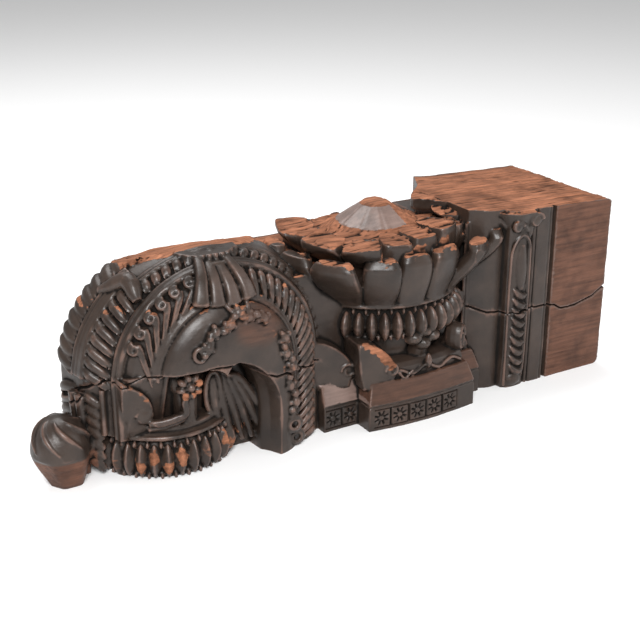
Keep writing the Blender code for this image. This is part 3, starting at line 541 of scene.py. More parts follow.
    def on_hood(self, places: list[tuple[float, float, float]], count: int) -> Array:
        """A smooth line on the hood from places of (x from the arch's middle, z, height above the hood)."""
        drawn = spline(places, count)
        x, z = self.x + drawn[:, 0], drawn[:, 1]
        return np.column_stack((x, self.hood_y(x, z) - drawn[:, 2], z))

    def flowers(self) -> list[Solid]:
        """The chain of small flowers, the strings that hold it, and the leaves at its foot."""
        made = []
        line = spline(list(self.garland), 26)
        places = np.column_stack((self.x + line[:, 0], self.hood_y(self.x + line[:, 0], line[:, 1]),
                                  line[:, 1]))
        for k, place in enumerate(places):
            if 11 < k < 15:
                continue
            ahead = unit(places[min(k + 1, 25)] - places[max(k - 1, 0)])
            across = unit(np.cross(ahead, FRONT))
            size = 0.0062 if k % 2 else 0.0048
            side = 0.0026 * (1 if k % 4 < 2 else -1)
            centre = place + across * side + FRONT * 0.0025
            made.append(CARVER.bead(f"flower_{k:02d}", centre,
                                    (ahead * size, across * size * 0.85, FRONT * 0.0052)))
            if k % 2:
                for turn in turns(4, 0.6 + k):
                    spot = centre + (ahead * cos(turn) + across * sin(turn)) * 0.0058 - FRONT * 0.001
                    made.append(CARVER.bead(f"leaflet_{k:02d}", spot,
                                            (ahead * 0.003, across * 0.003, FRONT * 0.004)))
        loops = (((0.002, 0.200, 0.0), (0.012, 0.190, 0.004), (0.018, 0.178, 0.004), (0.016, 0.167, 0.003)),
                 ((-0.004, 0.196, 0.0), (-0.001, 0.184, 0.004), (0.006, 0.175, 0.004), (0.014, 0.170, 0.003)),
                 ((-0.010, 0.190, 0.0), (-0.006, 0.180, 0.003), (0.000, 0.171, 0.003), (0.004, 0.165, 0.003)))
        for k, loop in enumerate(loops):
            path = self.on_hood(list(loop), 14)
            made.append(CARVER.tube(f"string_{k}", path, np.full(14, 0.0024), FRONT, 8))
        coil = np.linspace(0, 2.6 * pi, 20)
        radius = 0.0085 * (1 - 0.6 * coil / coil[-1])
        x, z = self.x - 0.038 + radius * np.cos(coil), 0.134 + radius * np.sin(coil)
        path = np.column_stack((x, self.hood_y(x, z) - 0.0025, z))
        made.append(CARVER.tube("garland_curl", path, np.linspace(0.0026, 0.0016, 20), FRONT, 8))
        for k, (dx, z) in enumerate(((0.069, 0.030), (0.074, 0.012))):
            for ring, size in enumerate((0.0095, 0.0058)):
                turn = turns(18)
                place = (self.x + dx + size * np.cos(turn), z + size * 0.95 * np.sin(turn))
                y = self.hood_y(self.x + dx, z) - 0.002 - 0.002 * ring
                path = np.column_stack((place[0], np.full(18, y), place[1]))
                path = np.vstack((path, path[:1]))
                made.append(CARVER.tube(f"foot_curl_{k}_{ring}", path, np.full(19, 0.0022), FRONT, 7))
        return made

    def panel(self) -> list[Solid]:
        """The smooth stock behind the rosette and the fin, with an upright fillet."""
        edge = [(-0.112, -0.050), (-0.106, -0.0560), (-0.090, -0.0580), (-0.070, -0.0580), (-0.050, -0.0570),
                (-0.034, -0.0540), (-0.026, -0.0500)]
        outline = np.vstack((spline(edge, 30), ((-0.03, -0.03), (-0.11, -0.03))))
        outline[:, 0] += self.x
        rings = []
        for z, lean in ((-SUNK, 0.0), (0.050, 0.002), (0.070, 0.007), (0.090, 0.013), (0.105, 0.017),
                        (0.114, 0.019)):
            shift = lean * ease(-outline[:, 1], 0.048, 0.057)
            rings.append(np.column_stack((outline[:, 0], outline[:, 1] - shift, np.full(len(outline), z))))
        made = [CARVER.skin("panel", rings)]
        x = self.x - 0.0660
        path = [(x, -0.0582, -SUNK), (x, -0.0605, 0.05), (x, -0.0655, 0.07), (x + 0.001, -0.0715, 0.090),
                (x + 0.002, -0.0775, 0.113)]
        made.append(CARVER.tube("panel_fillet", spline(path, 12), np.full(12, 0.0022), FRONT, 8))
        return made

    def inner_leaves(self) -> list[Solid]:
        """The draped leaf folds inside the opening."""
        made = []
        y = self.lines[0][2]
        for k in range(6):
            foot_x = self.x - 0.012 + 0.0095 * k
            places = [(self.x - 0.006 + 0.002 * k, y + 0.020 - 0.002 * k, 0.108 - 0.003 * k),
                      (self.x - 0.010 + 0.006 * k, y + 0.016, 0.084),
                      (foot_x + 0.004, y + 0.014, 0.052), (foot_x + 0.012 + 0.002 * k, y + 0.016, 0.012)]
            path = spline(places, 16)
            widths = 0.0052 * np.sin(np.linspace(0.45, 2.5, 16))
            made.append(CARVER.tube(f"fold_{k}", path, np.column_stack((widths, widths * 1.1)), FRONT, 10))
        turn = turns(24)
        centre = np.array((self.x - 0.011, y + 0.012, 0.075))
        path = centre + np.column_stack((0.0085 * np.cos(turn), 0 * turn, 0.0235 * np.sin(turn)))
        made.append(CARVER.tube("oval_rim", np.vstack((path, path[:1])), np.full(25, 0.0026), FRONT, 8))
        axes = (UP * 0.021, np.array((0.0065, 0, 0)), FRONT * 0.004)
        made.append(CARVER.bead("oval_leaf", centre - FRONT * 0.003, axes))
        return made

    def spray(self) -> list[Solid]:
        """Four blunt petals that hang from the crown, a ragged fringe over them, and the broken knob."""
        made = []
        crown = np.array((self.x - 0.002, -0.0435, self.spring + 0.118))
        for k in range(4):
            fan = k - 1.6
            rise = 0.0016 * fan * fan
            places = [(0.0080, -0.006, -0.004), (0.0105, -0.020, -0.009), (0.0132, -0.033, -0.018),
                      (0.0158, -0.0410, -0.029), (0.0172, -0.0445, -0.0385), (0.0176, -0.0450, -0.0420)]
            path = spline([tuple(crown + (fan * dx, dy, dz + rise)) for dx, dy, dz in places], 16)
            facing = np.array((0.14 * fan, -1.0, 0.42))
            wide = np.interp(np.linspace(0, 1, 16), (0, 0.5, 0.88, 1), (0.0042, 0.0062, 0.0086, 0.0076))
            thick = np.interp(np.linspace(0, 1, 16), (0, 0.5, 0.86, 1), (0.0040, 0.0060, 0.0066, 0.0040))
            made.append(CARVER.tube(f"spray_petal_{k}", path, np.column_stack((wide, thick)), facing, 20,
                                    0.62))
        edge = spline([(-0.034, 0.006), (-0.030, -0.001), (-0.018, -0.012), (-0.006, -0.0145),
                       (0.006, -0.016), (0.018, -0.015), (0.028, -0.007), (0.036, 0.0), (0.030, 0.020),
                       (-0.026, 0.020)], 90)
        ragged = edge[:, 1] - 0.0034 * np.abs(np.sin(edge[:, 0] * 430)) * (edge[:, 1] < 0.002)
        outline = np.column_stack((crown[0] + edge[:, 0], crown[1] + ragged))
        made.append(CARVER.prism("fringe", outline, [crown[2] - 0.009, crown[2] - 0.004, crown[2] + 0.003],
                                 [0.97, 1.0, 0.93]))
        path, out = self.on(0.362, [(4.3, -0.020, 0.004), (3.6, -0.004, 0.007), (3.0, 0.003, 0.0085),
                                    (2.3, -0.006, 0.006)], 12)
        widths = np.array((0.004, 0.0055, 0.0068, 0.0078, 0.0082, 0.0084, 0.0088, 0.0092, 0.0092, 0.0086,
                           0.0074, 0.005))
        made.append(CARVER.tube("knob", path, np.column_stack((widths, widths * 0.9)), out, 12))
        return made

    def carve(self) -> list[Solid]:
        """Every solid of the arch."""
        made = [self.body()] + self.bands() + self.low_leaf() + self.flowers()
        return made + self.panel() + self.inner_leaves() + self.spray()


@dataclass
class Foot:
    """The beaded ring at the arch's foot, with the fin, the rosette and the roped stem on it, and the bud."""

    x: float = FOOT_X
    y: float = -0.014
    radius: float = 0.075
    height: float = 0.040
    beads: int = 34
    bead_swell: float = 0.009
    top: float = 0.054
    bud_radius: float = 0.030
    bud_half_height: float = 0.0375
    bud_y: float = -0.036
    flower: tuple[float, float, float] = (-0.198, -0.0845, 0.0965)
    fin_place: tuple[float, float] = (-0.2630, -0.0560)

    def ring(self) -> list[Solid]:
        """The ring's body with its mouldings, and its beads."""
        r, h = self.radius, self.height
        profile = [(r * 0.88, -SUNK), (r * 0.955, h * 0.12), (r * 0.985, h * 0.5), (r * 0.95, h * 0.88),
                   (r * 0.90, h), (r * 0.90, h + 0.001), (r - 0.0020, h + 0.002), (r - 0.0010, h + 0.0042),
                   (r - 0.0022, h + 0.0064), (r - 0.0060, h + 0.0070), (r - 0.0060, h + 0.0082),
                   (r - 0.0090, h + 0.0088), (r - 0.0082, h + 0.0110), (r - 0.0095, h + 0.0132),
                   (r - 0.0130, self.top)]
        made = [CARVER.turned("ring_body", (self.x, self.y), profile, 96)]
        width = pi * r / self.beads
        for k in range(-13, 11):
            turn = 2 * pi * k / self.beads - radians(8)
            out = np.array((sin(turn), -cos(turn), 0))
            side = np.cross(UP, out)
            centre = np.array((self.x, self.y, h * 0.5)) + out * (r * 0.985)
            axes = (UP * h * 0.485, side * width * 1.04, out * self.bead_swell)
            made.append(CARVER.bead(f"foot_bead_{k + 13:02d}", centre, axes, 9, 12, 1.35, 1.7))
            for level in (h * 0.93, h * 0.07):
                spot = np.array((self.x, self.y, level)) + out * r * 0.965
                spot = spot + side * width
                made.append(CARVER.bead(f"foot_tick_{k + 13:02d}", spot,
                                        (UP * 0.0042, side * 0.0022, out * 0.0042),
                                        5, 6, 1.3))
        return made

    def fin(self) -> list[Solid]:
        """The fin that stands on the ring, with its curl and the roped stem that leaves it."""
        x, y = self.fin_place
        outline = [(0.02, -0.16), (0.0, 0.2), (-0.02, 0.6), (-0.02, 0.93), (0.0, 1.04), (0.10, 1.0),
                   (0.36, 0.90), (0.66, 0.74), (0.86, 0.54), (0.94, 0.32), (0.86, 0.10), (0.84, -0.16)]
        edge = spline(outline, 40)
        rings = []
        for depth, share in ((-0.0075, 0.94), (-0.0060, 1.0), (0.012, 1.02), (0.026, 1.0)):
            middle = edge.mean(0)
            flat = middle + (edge - middle) * share
            lean = 0.018 * np.clip(flat[:, 1], 0, 1) ** 1.2
            rings.append(np.column_stack((x + 0.034 * flat[:, 0] - 0.25 * lean,
                                          y + depth - 0.0045 * flat[:, 0] - lean,
                                          self.top - 0.003 + 0.060 * flat[:, 1])))
        made = [CARVER.skin("fin", rings)]
        coil = np.linspace(0.2, 2.9 * pi, 28)
        radius = 0.0098 * (1 - 0.72 * coil / coil[-1])
        eye = np.array((x + 0.0205, y - 0.0155, self.top + 0.0150))
        path = eye + np.column_stack((-radius * np.cos(coil), 0 * coil, radius * np.sin(coil)))
        made.append(CARVER.tube("fin_curl", path, np.linspace(0.0030, 0.0017, 28), FRONT, 8))
        made.append(CARVER.bead("fin_eye", eye, (UP * 0.0088, np.array((0.0088, 0, 0)), FRONT * 0.0040), 9,
                                14))
        flower = np.array(self.flower)
        stem = spline([tuple(eye + (0.004, -0.001, -0.009)), (eye[0] + 0.020, -0.0780, self.top + 0.0075),
                       (eye[0] + 0.038, -0.0830, self.top + 0.014),
                       (flower[0] - 0.006, -0.084, self.top + 0.028), tuple(flower + (0.0, 0.004, -0.008))],
                       30)
        made.append(CARVER.tube("stem", stem, np.full(30, 0.0040), FRONT, 9))
        for k in range(2, 24):
            ahead = unit(stem[k + 1] - stem[k - 1])
            across = unit(np.cross(ahead, FRONT))
            tilt = unit(ahead + across * 0.9)
            made.append(CARVER.bead(f"twist_{k:02d}", stem[k] + FRONT * 0.0026,
                                    (tilt * 0.0058, np.cross(tilt, FRONT) * 0.0020, FRONT * 0.0028), 5, 7))
        low = stem + np.array((0.0, 0.003, -0.0075))
        made.append(CARVER.tube("stem_bed", low, np.full(30, 0.0028), FRONT, 8))
        return made

    def rosette(self) -> list[Solid]:
        """The eight-lobed flower beside the opening, on its backing."""
        flower = np.array(self.flower)
        made = []
        side = np.array((1.0, 0.0, 0.0))
        for k, turn in enumerate(turns(8, 0.2)):
            spoke = side * cos(turn) + UP * sin(turn)
            across = np.cross(spoke, FRONT)
            centre = flower + spoke * 0.0098
            made.append(CARVER.bead(f"rosette_{k}", centre,
                                    (spoke * 0.0052, across * 0.0039, FRONT * 0.0062)))
        made.append(CARVER.bead("rosette_boss", flower + FRONT * 0.002,
                                (side * 0.0052, UP * 0.0052, FRONT * 0.0066)))
        back = flower - FRONT * 0.014
        made.append(CARVER.bead("rosette_back", back, (UP * 0.017, side * 0.0165, FRONT * 0.013), 9, 16))
        path = spline([tuple(back + (0, 0.006, 0.028)), tuple(back), tuple(back + (0.002, 0.004, -0.046))],
                      10)
        made.append(CARVER.tube("rosette_stock", path, np.linspace(0.014, 0.012, 10), FRONT, 14))
        return made

    def bud(self) -> list[Solid]:
        """The bud at the tip: a swirled upper half over a lower half sawn to facets."""
        centre = np.array((LOW.x + self.bud_radius, self.bud_y, self.bud_half_height - 0.0005))
        rings = []
        sides = 60
        turn = turns(sides)
        for k in range(1, 28):
            polar = pi * k / 28
            height = -cos(polar)
            wide = np.full(sides, sin(polar) * self.bud_radius)
            if height > -0.05:
                swirl = np.sin(5 * turn + 3.2 * height) * 0.5 + 0.5
                wide *= 1 - 0.05 * ease(np.array(height), -0.05, 0.15) * (1 - swirl ** 0.35)
            else:
                facet = np.cos((turn % (pi / 3)) - pi / 6)
                wide = np.minimum(0.92 / facet, 1) * self.bud_radius * (1.02 - 0.44 * min(1, -height) ** 1.2)
            flat = np.column_stack((np.cos(turn) * wide - 0.005 * min(0, height), np.sin(turn) * wide,
                                    np.zeros(sides)))
            rings.append(centre + flat + UP * height * self.bud_half_height)
        made = [CARVER.skin("bud", rings)]
        neck = np.array((self.x - self.radius * 0.5, self.y, self.bud_half_height * 0.7))
        path = spline([tuple(centre), tuple((centre + neck) / 2), tuple(neck)], 8)
        made.append(CARVER.tube("bud_neck", path, np.full(8, 0.0175), UP, 14))
        for k in range(7):
            polar = np.linspace(0.30, 1.40, 12)
            swing = 2 * pi * k / 7 + 1.2 * polar
            ball = np.column_stack((np.sin(polar) * np.cos(swing), np.sin(polar) * np.sin(swing),
                                    np.cos(polar)))
            path = centre + ball * (self.bud_radius, self.bud_radius, self.bud_half_height) * 0.985
            widths = 0.0030 * np.sin(np.linspace(0.3, 2.8, 12))
            made.append(CARVER.tube(f"bud_leaf_{k}", path, widths, ball, 9))
        return made

    def carve(self) -> list[Solid]:
        """Every solid of the foot."""
        return self.ring() + self.fin() + self.rosette() + self.bud()


@dataclass
class Lotus:
    """The half lotus: beads, two rows of broad petals and a faceted seed head, on its stepped plinth."""

    x: float = LOTUS_X
    plinth_width: float = 0.142
    plinth_front: float = 0.104
    plinth_swell: float = 0.006
    plinth_height: float = 0.028
    wing_width: float = 0.043
    wing_front: float = 0.080
    slope_rise: float = 0.024
    slope_inset: float = 0.006
    core_front: float = 0.055
    petal_base_radius: float = 0.088
    ring_radius: float = 0.097
    ring_bottom: float = 0.094
    ring_height: float = 0.036
    ring_beads: int = 42
    bead_swell: float = 0.011
    petals: int = 16
    petal_base: float = 0.133
    petal_tip: float = 0.195
    petal_thickness: float = 0.017
    rim: tuple[float, float] = (0.128, 0.101)
    petal_turn: float = -6.5
    upper_tip: float = 0.2075
    upper_reach: tuple[float, ...] = (0.80, 0.84, 0.86, 0.91, 0.86, 0.86, 0.80, 0.66, 0.78, 0.91)

    def outline(self, inset: float, count: int = 13) -> Array:
        """The plinth's plan at an inset from its foot."""
        half, wing = self.plinth_width / 2 - inset, self.plinth_width / 2 + self.wing_width
        front, side = self.plinth_front - inset, self.wing_front - inset
        points = [(-wing, self.core_front), (-wing, -side), (-half - inset * 0.5, -side), (-half, -front)]
        for share in np.linspace(0, 1, count)[1:-1]:
            points.append((-half + 2 * half * share, -front - self.plinth_swell * sin(pi * share)))
        points += [(half, -front), (half + inset * 0.5, -side), (half + self.wing_width * 0.6, -side),
                   (half + self.wing_width * 0.6, self.core_front)]
        return np.array([(self.x + x, y) for x, y in points])

    def plinth(self) -> list[Solid]:
        """The band of squares, the slope with its fillet, the wavy leaf edge above it and the neck."""
        h, top = self.plinth_height, self.plinth_height + self.slope_rise
        levels = ((0.0, -SUNK), (0.0, h - 0.0015), (0.0012, h), (0.0012, h + 0.0012), (0.0, h + 0.002),
                  (self.slope_inset, top - 0.002), (self.slope_inset + 0.001, top),
                  (self.slope_inset + 0.004, top))
        rings = [np.column_stack((self.outline(inset), np.full(19, z))) for inset, z in levels]
        made = [CARVER.skin("plinth", rings)]
        levels = ((0.012, top - 0.004), (0.0105, top + 0.006), (0.012, top + 0.012), (0.017, top + 0.0165),
                  (0.024, top + 0.018))
        rings = [np.column_stack((self.outline(inset), np.full(19, z))) for inset, z in levels]
        made.append(CARVER.skin("leaf_bed", rings))
        profile = [(0.078, h), (0.078, 0.060), (0.0765, 0.075), (0.078, 0.088),
                   (0.082, self.ring_bottom + 0.012)]
        made.append(CARVER.turned("neck", (self.x, 0), profile, 64))
        front = -self.plinth_front + 0.0096
        x = np.linspace(-0.056, 0.056, 110)
        z = top + 0.0072 + 0.0034 * np.sin(2 * pi * x / 0.036 + 0.6)
        path = np.column_stack((self.x + x, front - self.plinth_swell * np.cos(pi * x / self.plinth_width),
                                z))
        made.append(CARVER.tube("wavy_edge", path, np.full(110, 0.0017), FRONT, 8))
        return made

    def crocket(self, name: str, place: tuple[float, float], turn: float, share: float) -> list[Solid]:
        """A short scrolled leaf that stands on the slope's top, with a curl in its side."""
        side = np.array((cos(radians(turn)), sin(radians(turn)), 0))
        inward = np.array((-sin(radians(turn)), cos(radians(turn)), 0))
        start = np.array((self.x + place[0], place[1], self.plinth_height + self.slope_rise - 0.006))
        corners = [(-0.30, 0.0), (-0.38, 0.3), (-0.42, 0.7), (-0.44, 0.98), (-0.36, 1.04), (-0.16, 1.0),
                   (0.08, 0.86), (0.28, 0.68), (0.40, 0.50), (0.46, 0.36), (0.44, 0.22), (0.38, 0.10),
                   (0.36, 0.0)]
        edge = spline(corners, 48) * 0.046 * share
        rings = []
        for depth, grow in ((-0.001, 0.94), (0.001, 1.0), (0.030, 1.0), (0.044, 0.96)):
            middle = edge.mean(0)
            flat = middle + (edge - middle) * grow
            rings.append(start + np.outer(flat[:, 0], side) + inward * depth + np.outer(flat[:, 1], UP))
        made = [CARVER.skin(name, rings)]
        coil = np.linspace(0, 2.2 * pi, 22)
        radius = 0.0074 * share * (1 - 0.6 * coil / coil[-1])
        eye = start + side * 0.0155 * share + UP * 0.0165 * share - inward * 0.0012
        path = eye + np.outer(-radius * np.cos(coil), side) + np.outer(radius * np.sin(coil), UP)
        made.append(CARVER.tube(name + "_curl", path, np.linspace(0.0017, 0.0011, 22), -inward, 8))
        tail = spline([tuple(eye + side * 0.008 - UP * 0.004), tuple(eye + side * 0.016 - UP * 0.012),
                       tuple(eye + side * 0.026 - UP * 0.004)], 12)
        made.append(CARVER.tube(name + "_tail", tail, np.full(12, 0.0014), -inward, 7))
        return made

    def crockets(self) -> list[Solid]:
        """The scrolled leaves of the plinth, the small trefoil and its drop, and the volute at the right."""
        front, half = self.plinth_front - 0.0096, self.plinth_width / 2
        made = self.crocket("crocket_left", (-half - self.wing_width * 0.66, -self.wing_front + 0.0076), -12,
                            1.2)
        made += self.crocket("crocket_front", (-half + 0.014, -front - 0.002), -6, 1.15)
        base = np.array((self.x + 0.006, -front + 0.002, 0.092))
        for k, (dx, dz, size) in enumerate(((-0.014, 0.002, 0.0095), (0.0, 0.008, 0.008),
                                            (0.010, 0.001, 0.0085), (-0.002, -0.006, 0.009))):
            centre = base + np.array((dx, 0.0, dz))
            axes = (np.array((size, -size * 0.25, size * 0.35)), np.array((-size * 0.3, 0, size * 0.75)),
                    FRONT * 0.010)
            made.append(CARVER.bead(f"trefoil_{k}", centre, axes, 9, 14, 1.1))
        path = spline([tuple(base - FRONT * 0.004), tuple(base + (0.0, 0.012, -0.018)),
                       tuple(base + (0.0, 0.020, -0.036))], 8)
        made.append(CARVER.tube("trefoil_stock", path, np.linspace(0.010, 0.014, 8), FRONT, 12))
        drop = np.array((self.x + 0.0075, -front - 0.0065, 0.0665))
        axes = (UP * 0.0095, np.array((0.0042, 0, 0)), FRONT * 0.0042)
        made.append(CARVER.bead("drop", drop, axes, 9, 12, 1.2))
        eye = np.array((self.x + half - 0.016, -self.plinth_front + 0.018, 0.079))
        coil = np.linspace(0, 2.6 * pi, 26)
        radius = 0.0135 * (1 - 0.66 * coil / coil[-1])
        side = unit(np.array((0.80, 0.60, 0)))
        path = eye + np.outer(radius * np.cos(coil) * 0.8, side) + np.outer(radius * np.sin(coil) * 1.25, UP)
        sizes = np.column_stack((np.linspace(0.0042, 0.0022, 26), np.full(26, 0.010)))
        made.append(CARVER.tube("side_volute", path, sizes, np.cross(side, UP), 10))
        made.append(CARVER.bead("side_eye", eye + (0.004, 0.008, 0),
                                (UP * 0.017, side * 0.011, np.cross(side, UP) * 0.012)))
        path = spline([tuple(eye + (0.002, 0.004, -0.002)), tuple(eye + (0.000, 0.010, -0.018)),
                       tuple(eye + (-0.004, 0.014, -0.032))], 8)
        made.append(CARVER.tube("side_stock", path, np.linspace(0.012, 0.016, 8), FRONT, 12))
        return made

    def bead_ring(self) -> list[Solid]:
        """Pointed upright beads between two fillets, with small ticks between their tops."""
        low, tall, r = self.ring_bottom, self.ring_height, self.ring_radius
        middle = low + tall / 2
        profile = [(0.076, low - 0.004), (0.086, low + 0.0036), (r - 0.0045, middle - 0.007),
                   (r - 0.0038, middle), (r - 0.0045, middle + 0.007), (r - 0.0070, low + tall - 0.002),
                   (r - 0.0050, low + tall + 0.0010), (r - 0.0020, low + tall + 0.0020),
                   (r - 0.0016, low + tall + 0.0042), (r - 0.0040, low + tall + 0.0056),
                   (r - 0.0080, self.petal_base + 0.009)]
        made = [CARVER.turned("bead_bed", (self.x, 0), profile, 96)]
        width = pi * r / self.ring_beads
        for k in range(-12, 13):
            turn = 2 * pi * k / self.ring_beads
            out = np.array((sin(turn), -cos(turn), 0))
            side = np.cross(UP, out)
            centre = np.array((self.x, 0, middle - 0.001)) + out * (r - 0.0030)
            axes = (UP * tall * 0.46, side * width * 0.93, out * self.bead_swell)
            made.append(CARVER.bead(f"ring_bead_{k + 12:02d}", centre, axes, 9, 12, 1.15, 1.15))
            for level in (low + tall * 0.93, low + tall * 0.10):
                spot = np.array((self.x, 0, level)) + out * (r - 0.0058) + side * width
                made.append(CARVER.bead(f"ring_tick_{k + 12:02d}", spot,
                                        (UP * 0.0042, side * 0.0020, out * 0.0040),
                                        5, 6, 1.2))
        return made

    def reach(self, turn: float) -> float:
        """How far the petals reach from the lotus axis, on a plan between a circle and a square."""
        total = abs(sin(turn) / self.rim[0]) ** 5 + abs(cos(turn) / self.rim[1]) ** 5
        return total ** (-1 / 5)

    def petal(self, name: str, turn: float, heights: tuple[float, float], reach: float, blunt: float,
              crown: float, tilt: float = 0.0) -> Solid:
        """One thick petal that leans out from the lotus axis.

        Args:
            name: its name.
            turn: its place around the axis, from the front.
            heights: its foot and its tip.
            reach: share of the rim that its tip comes to.
            blunt: width left at its tip.
            crown: its thickness at the tip as a share of the petal's.
            tilt: sideways fall of its hewn top.
        """
        out, side = np.array((sin(turn), -cos(turn), 0)), np.array((cos(turn), sin(turn), 0))
        axis = np.array((self.x, 0, 0))
        tip = self.reach(turn) * reach
        low, high = heights
        rings = []
        angle = turns(26)
        for rise in np.linspace(0, 1, 15):
            lean = sin(rise * pi / 2) ** 1.3
            radius = self.petal_base_radius * (1 - lean) + tip * lean
            fade = 1 - (1 - blunt) * ease(np.array(rise), 0.80, 1.04) ** 1.6
            half = pi * radius / self.petals * (0.90 + 0.11 * sin(pi * min(1, rise * 1.2))) * fade
            depth = self.petal_thickness * (1.0 + (crown - 1) * ease(np.array(rise), 0.6, 1.0))
            radius -= self.petal_thickness * (1 - blunt) * ease(np.array(rise), 0.8, 1.0)
            centre = axis + out * radius + UP * (low + (high - low) * rise)
            front = np.sin(angle) > 0
            across = np.sign(np.cos(angle)) * np.abs(np.cos(angle)) ** 0.62
            bulge = np.where(front, np.abs(np.sin(angle)) ** 0.9 * 0.0064,
                             -np.abs(np.sin(angle)) ** 0.6 * depth)
            ring = centre + np.outer(across * half, side) + np.outer(bulge, out)
            ring[:, 2] += tilt * across * ease(np.array(rise), 0.6, 1.0)
            rings.append(ring)
        return CARVER.skin(name, rings)

    def flower(self) -> list[Solid]:
        """Two rows of petals about the seed head."""
        base, tip, thick = self.petal_base, self.petal_tip, self.petal_thickness
        profile = [(self.petal_base_radius + 0.0017, self.ring_bottom + 0.018),
                   (self.petal_base_radius, base + (tip - base) * 0.5),
                   (self.petal_base_radius - 0.0017, tip - thick * 0.35)]
        made = [CARVER.turned("lotus_body", (self.x, 0), profile, 72)]
        step, first = 2 * pi / self.petals, radians(self.petal_turn)
        for k in range(-4, 5):
            high = tip + 0.002 * sin(2.3 * k)
            made.append(self.petal(f"petal_{k + 4}", first + k * step, (base, high), 1.0, 0.66, 0.6))
        crown = 0.036 / thick
        for k in range(-5, 5):
            reach = self.upper_reach[k + 5]
            high = self.upper_tip + 0.0022 * sin(1.7 * k + 0.4) + (0.0045 if k in (1, 3) else 0.0)
            made.append(self.petal(f"upper_petal_{k + 5}", first + (k + 0.5) * step, (tip - thick, high),
                                   reach,
                                   0.93, crown, 0.0035 * sin(2.9 * k)))
        turn = turns(90)
        out = np.column_stack((np.sin(turn), -np.cos(turn), 0 * turn))
        rim = np.array([self.reach(t) for t in turn])[:, None]
        fall = UP * (0.009 * ease(-out[:, 1:2], 0.3, -0.5))
        rings = [np.array((self.x, 0, z)) + out * (rim * share if share > 0.5 else 0.1 * share) - fall
                 for share, z in ((0.66, 0.165), (0.70, 0.180), (0.73, 0.192), (0.70, 0.1975), (0.60, 0.1995),
                                  (0.50, 0.2010), (0.40, 0.2015))]
        made.append(CARVER.skin("torn_stock", rings))
        sides, facets = 80, 10
        turn = turns(sides)
        groove = np.abs(((turn * facets / (2 * pi)) + 0.5) % 1 - 0.5) * 2
        rings = []
        for radius, z in ((0.077, 0.164), (0.074, 0.1865), (0.058, 0.197), (0.042, 0.2075), (0.026, 0.2180),
                          (0.014, 0.2262)):
            polygon = np.cos(pi / facets) / np.cos((turn % (2 * pi / facets)) - pi / facets)
            wide = radius * (polygon - 0.055 * np.exp(-(groove / 0.12) ** 2))
            rings.append(np.column_stack((self.x + wide * np.cos(turn), wide * np.sin(turn),
                                          np.full(sides, z))))
        made.append(CARVER.skin("seed_head", rings))
        tip_centre = np.array((self.x + 0.004, 0.012, 0.2165))
        axes = (np.array((0.014, 0, 0.002)), np.array((0, 0.011, 0)), UP * 0.0095)
        made.append(CARVER.bead("seed_tip", tip_centre, axes, 9, 14))
        return made

    def carve(self) -> list[Solid]:
        """Every solid of the lotus and its plinth."""
        return self.plinth() + self.crockets() + self.bead_ring() + self.flower()


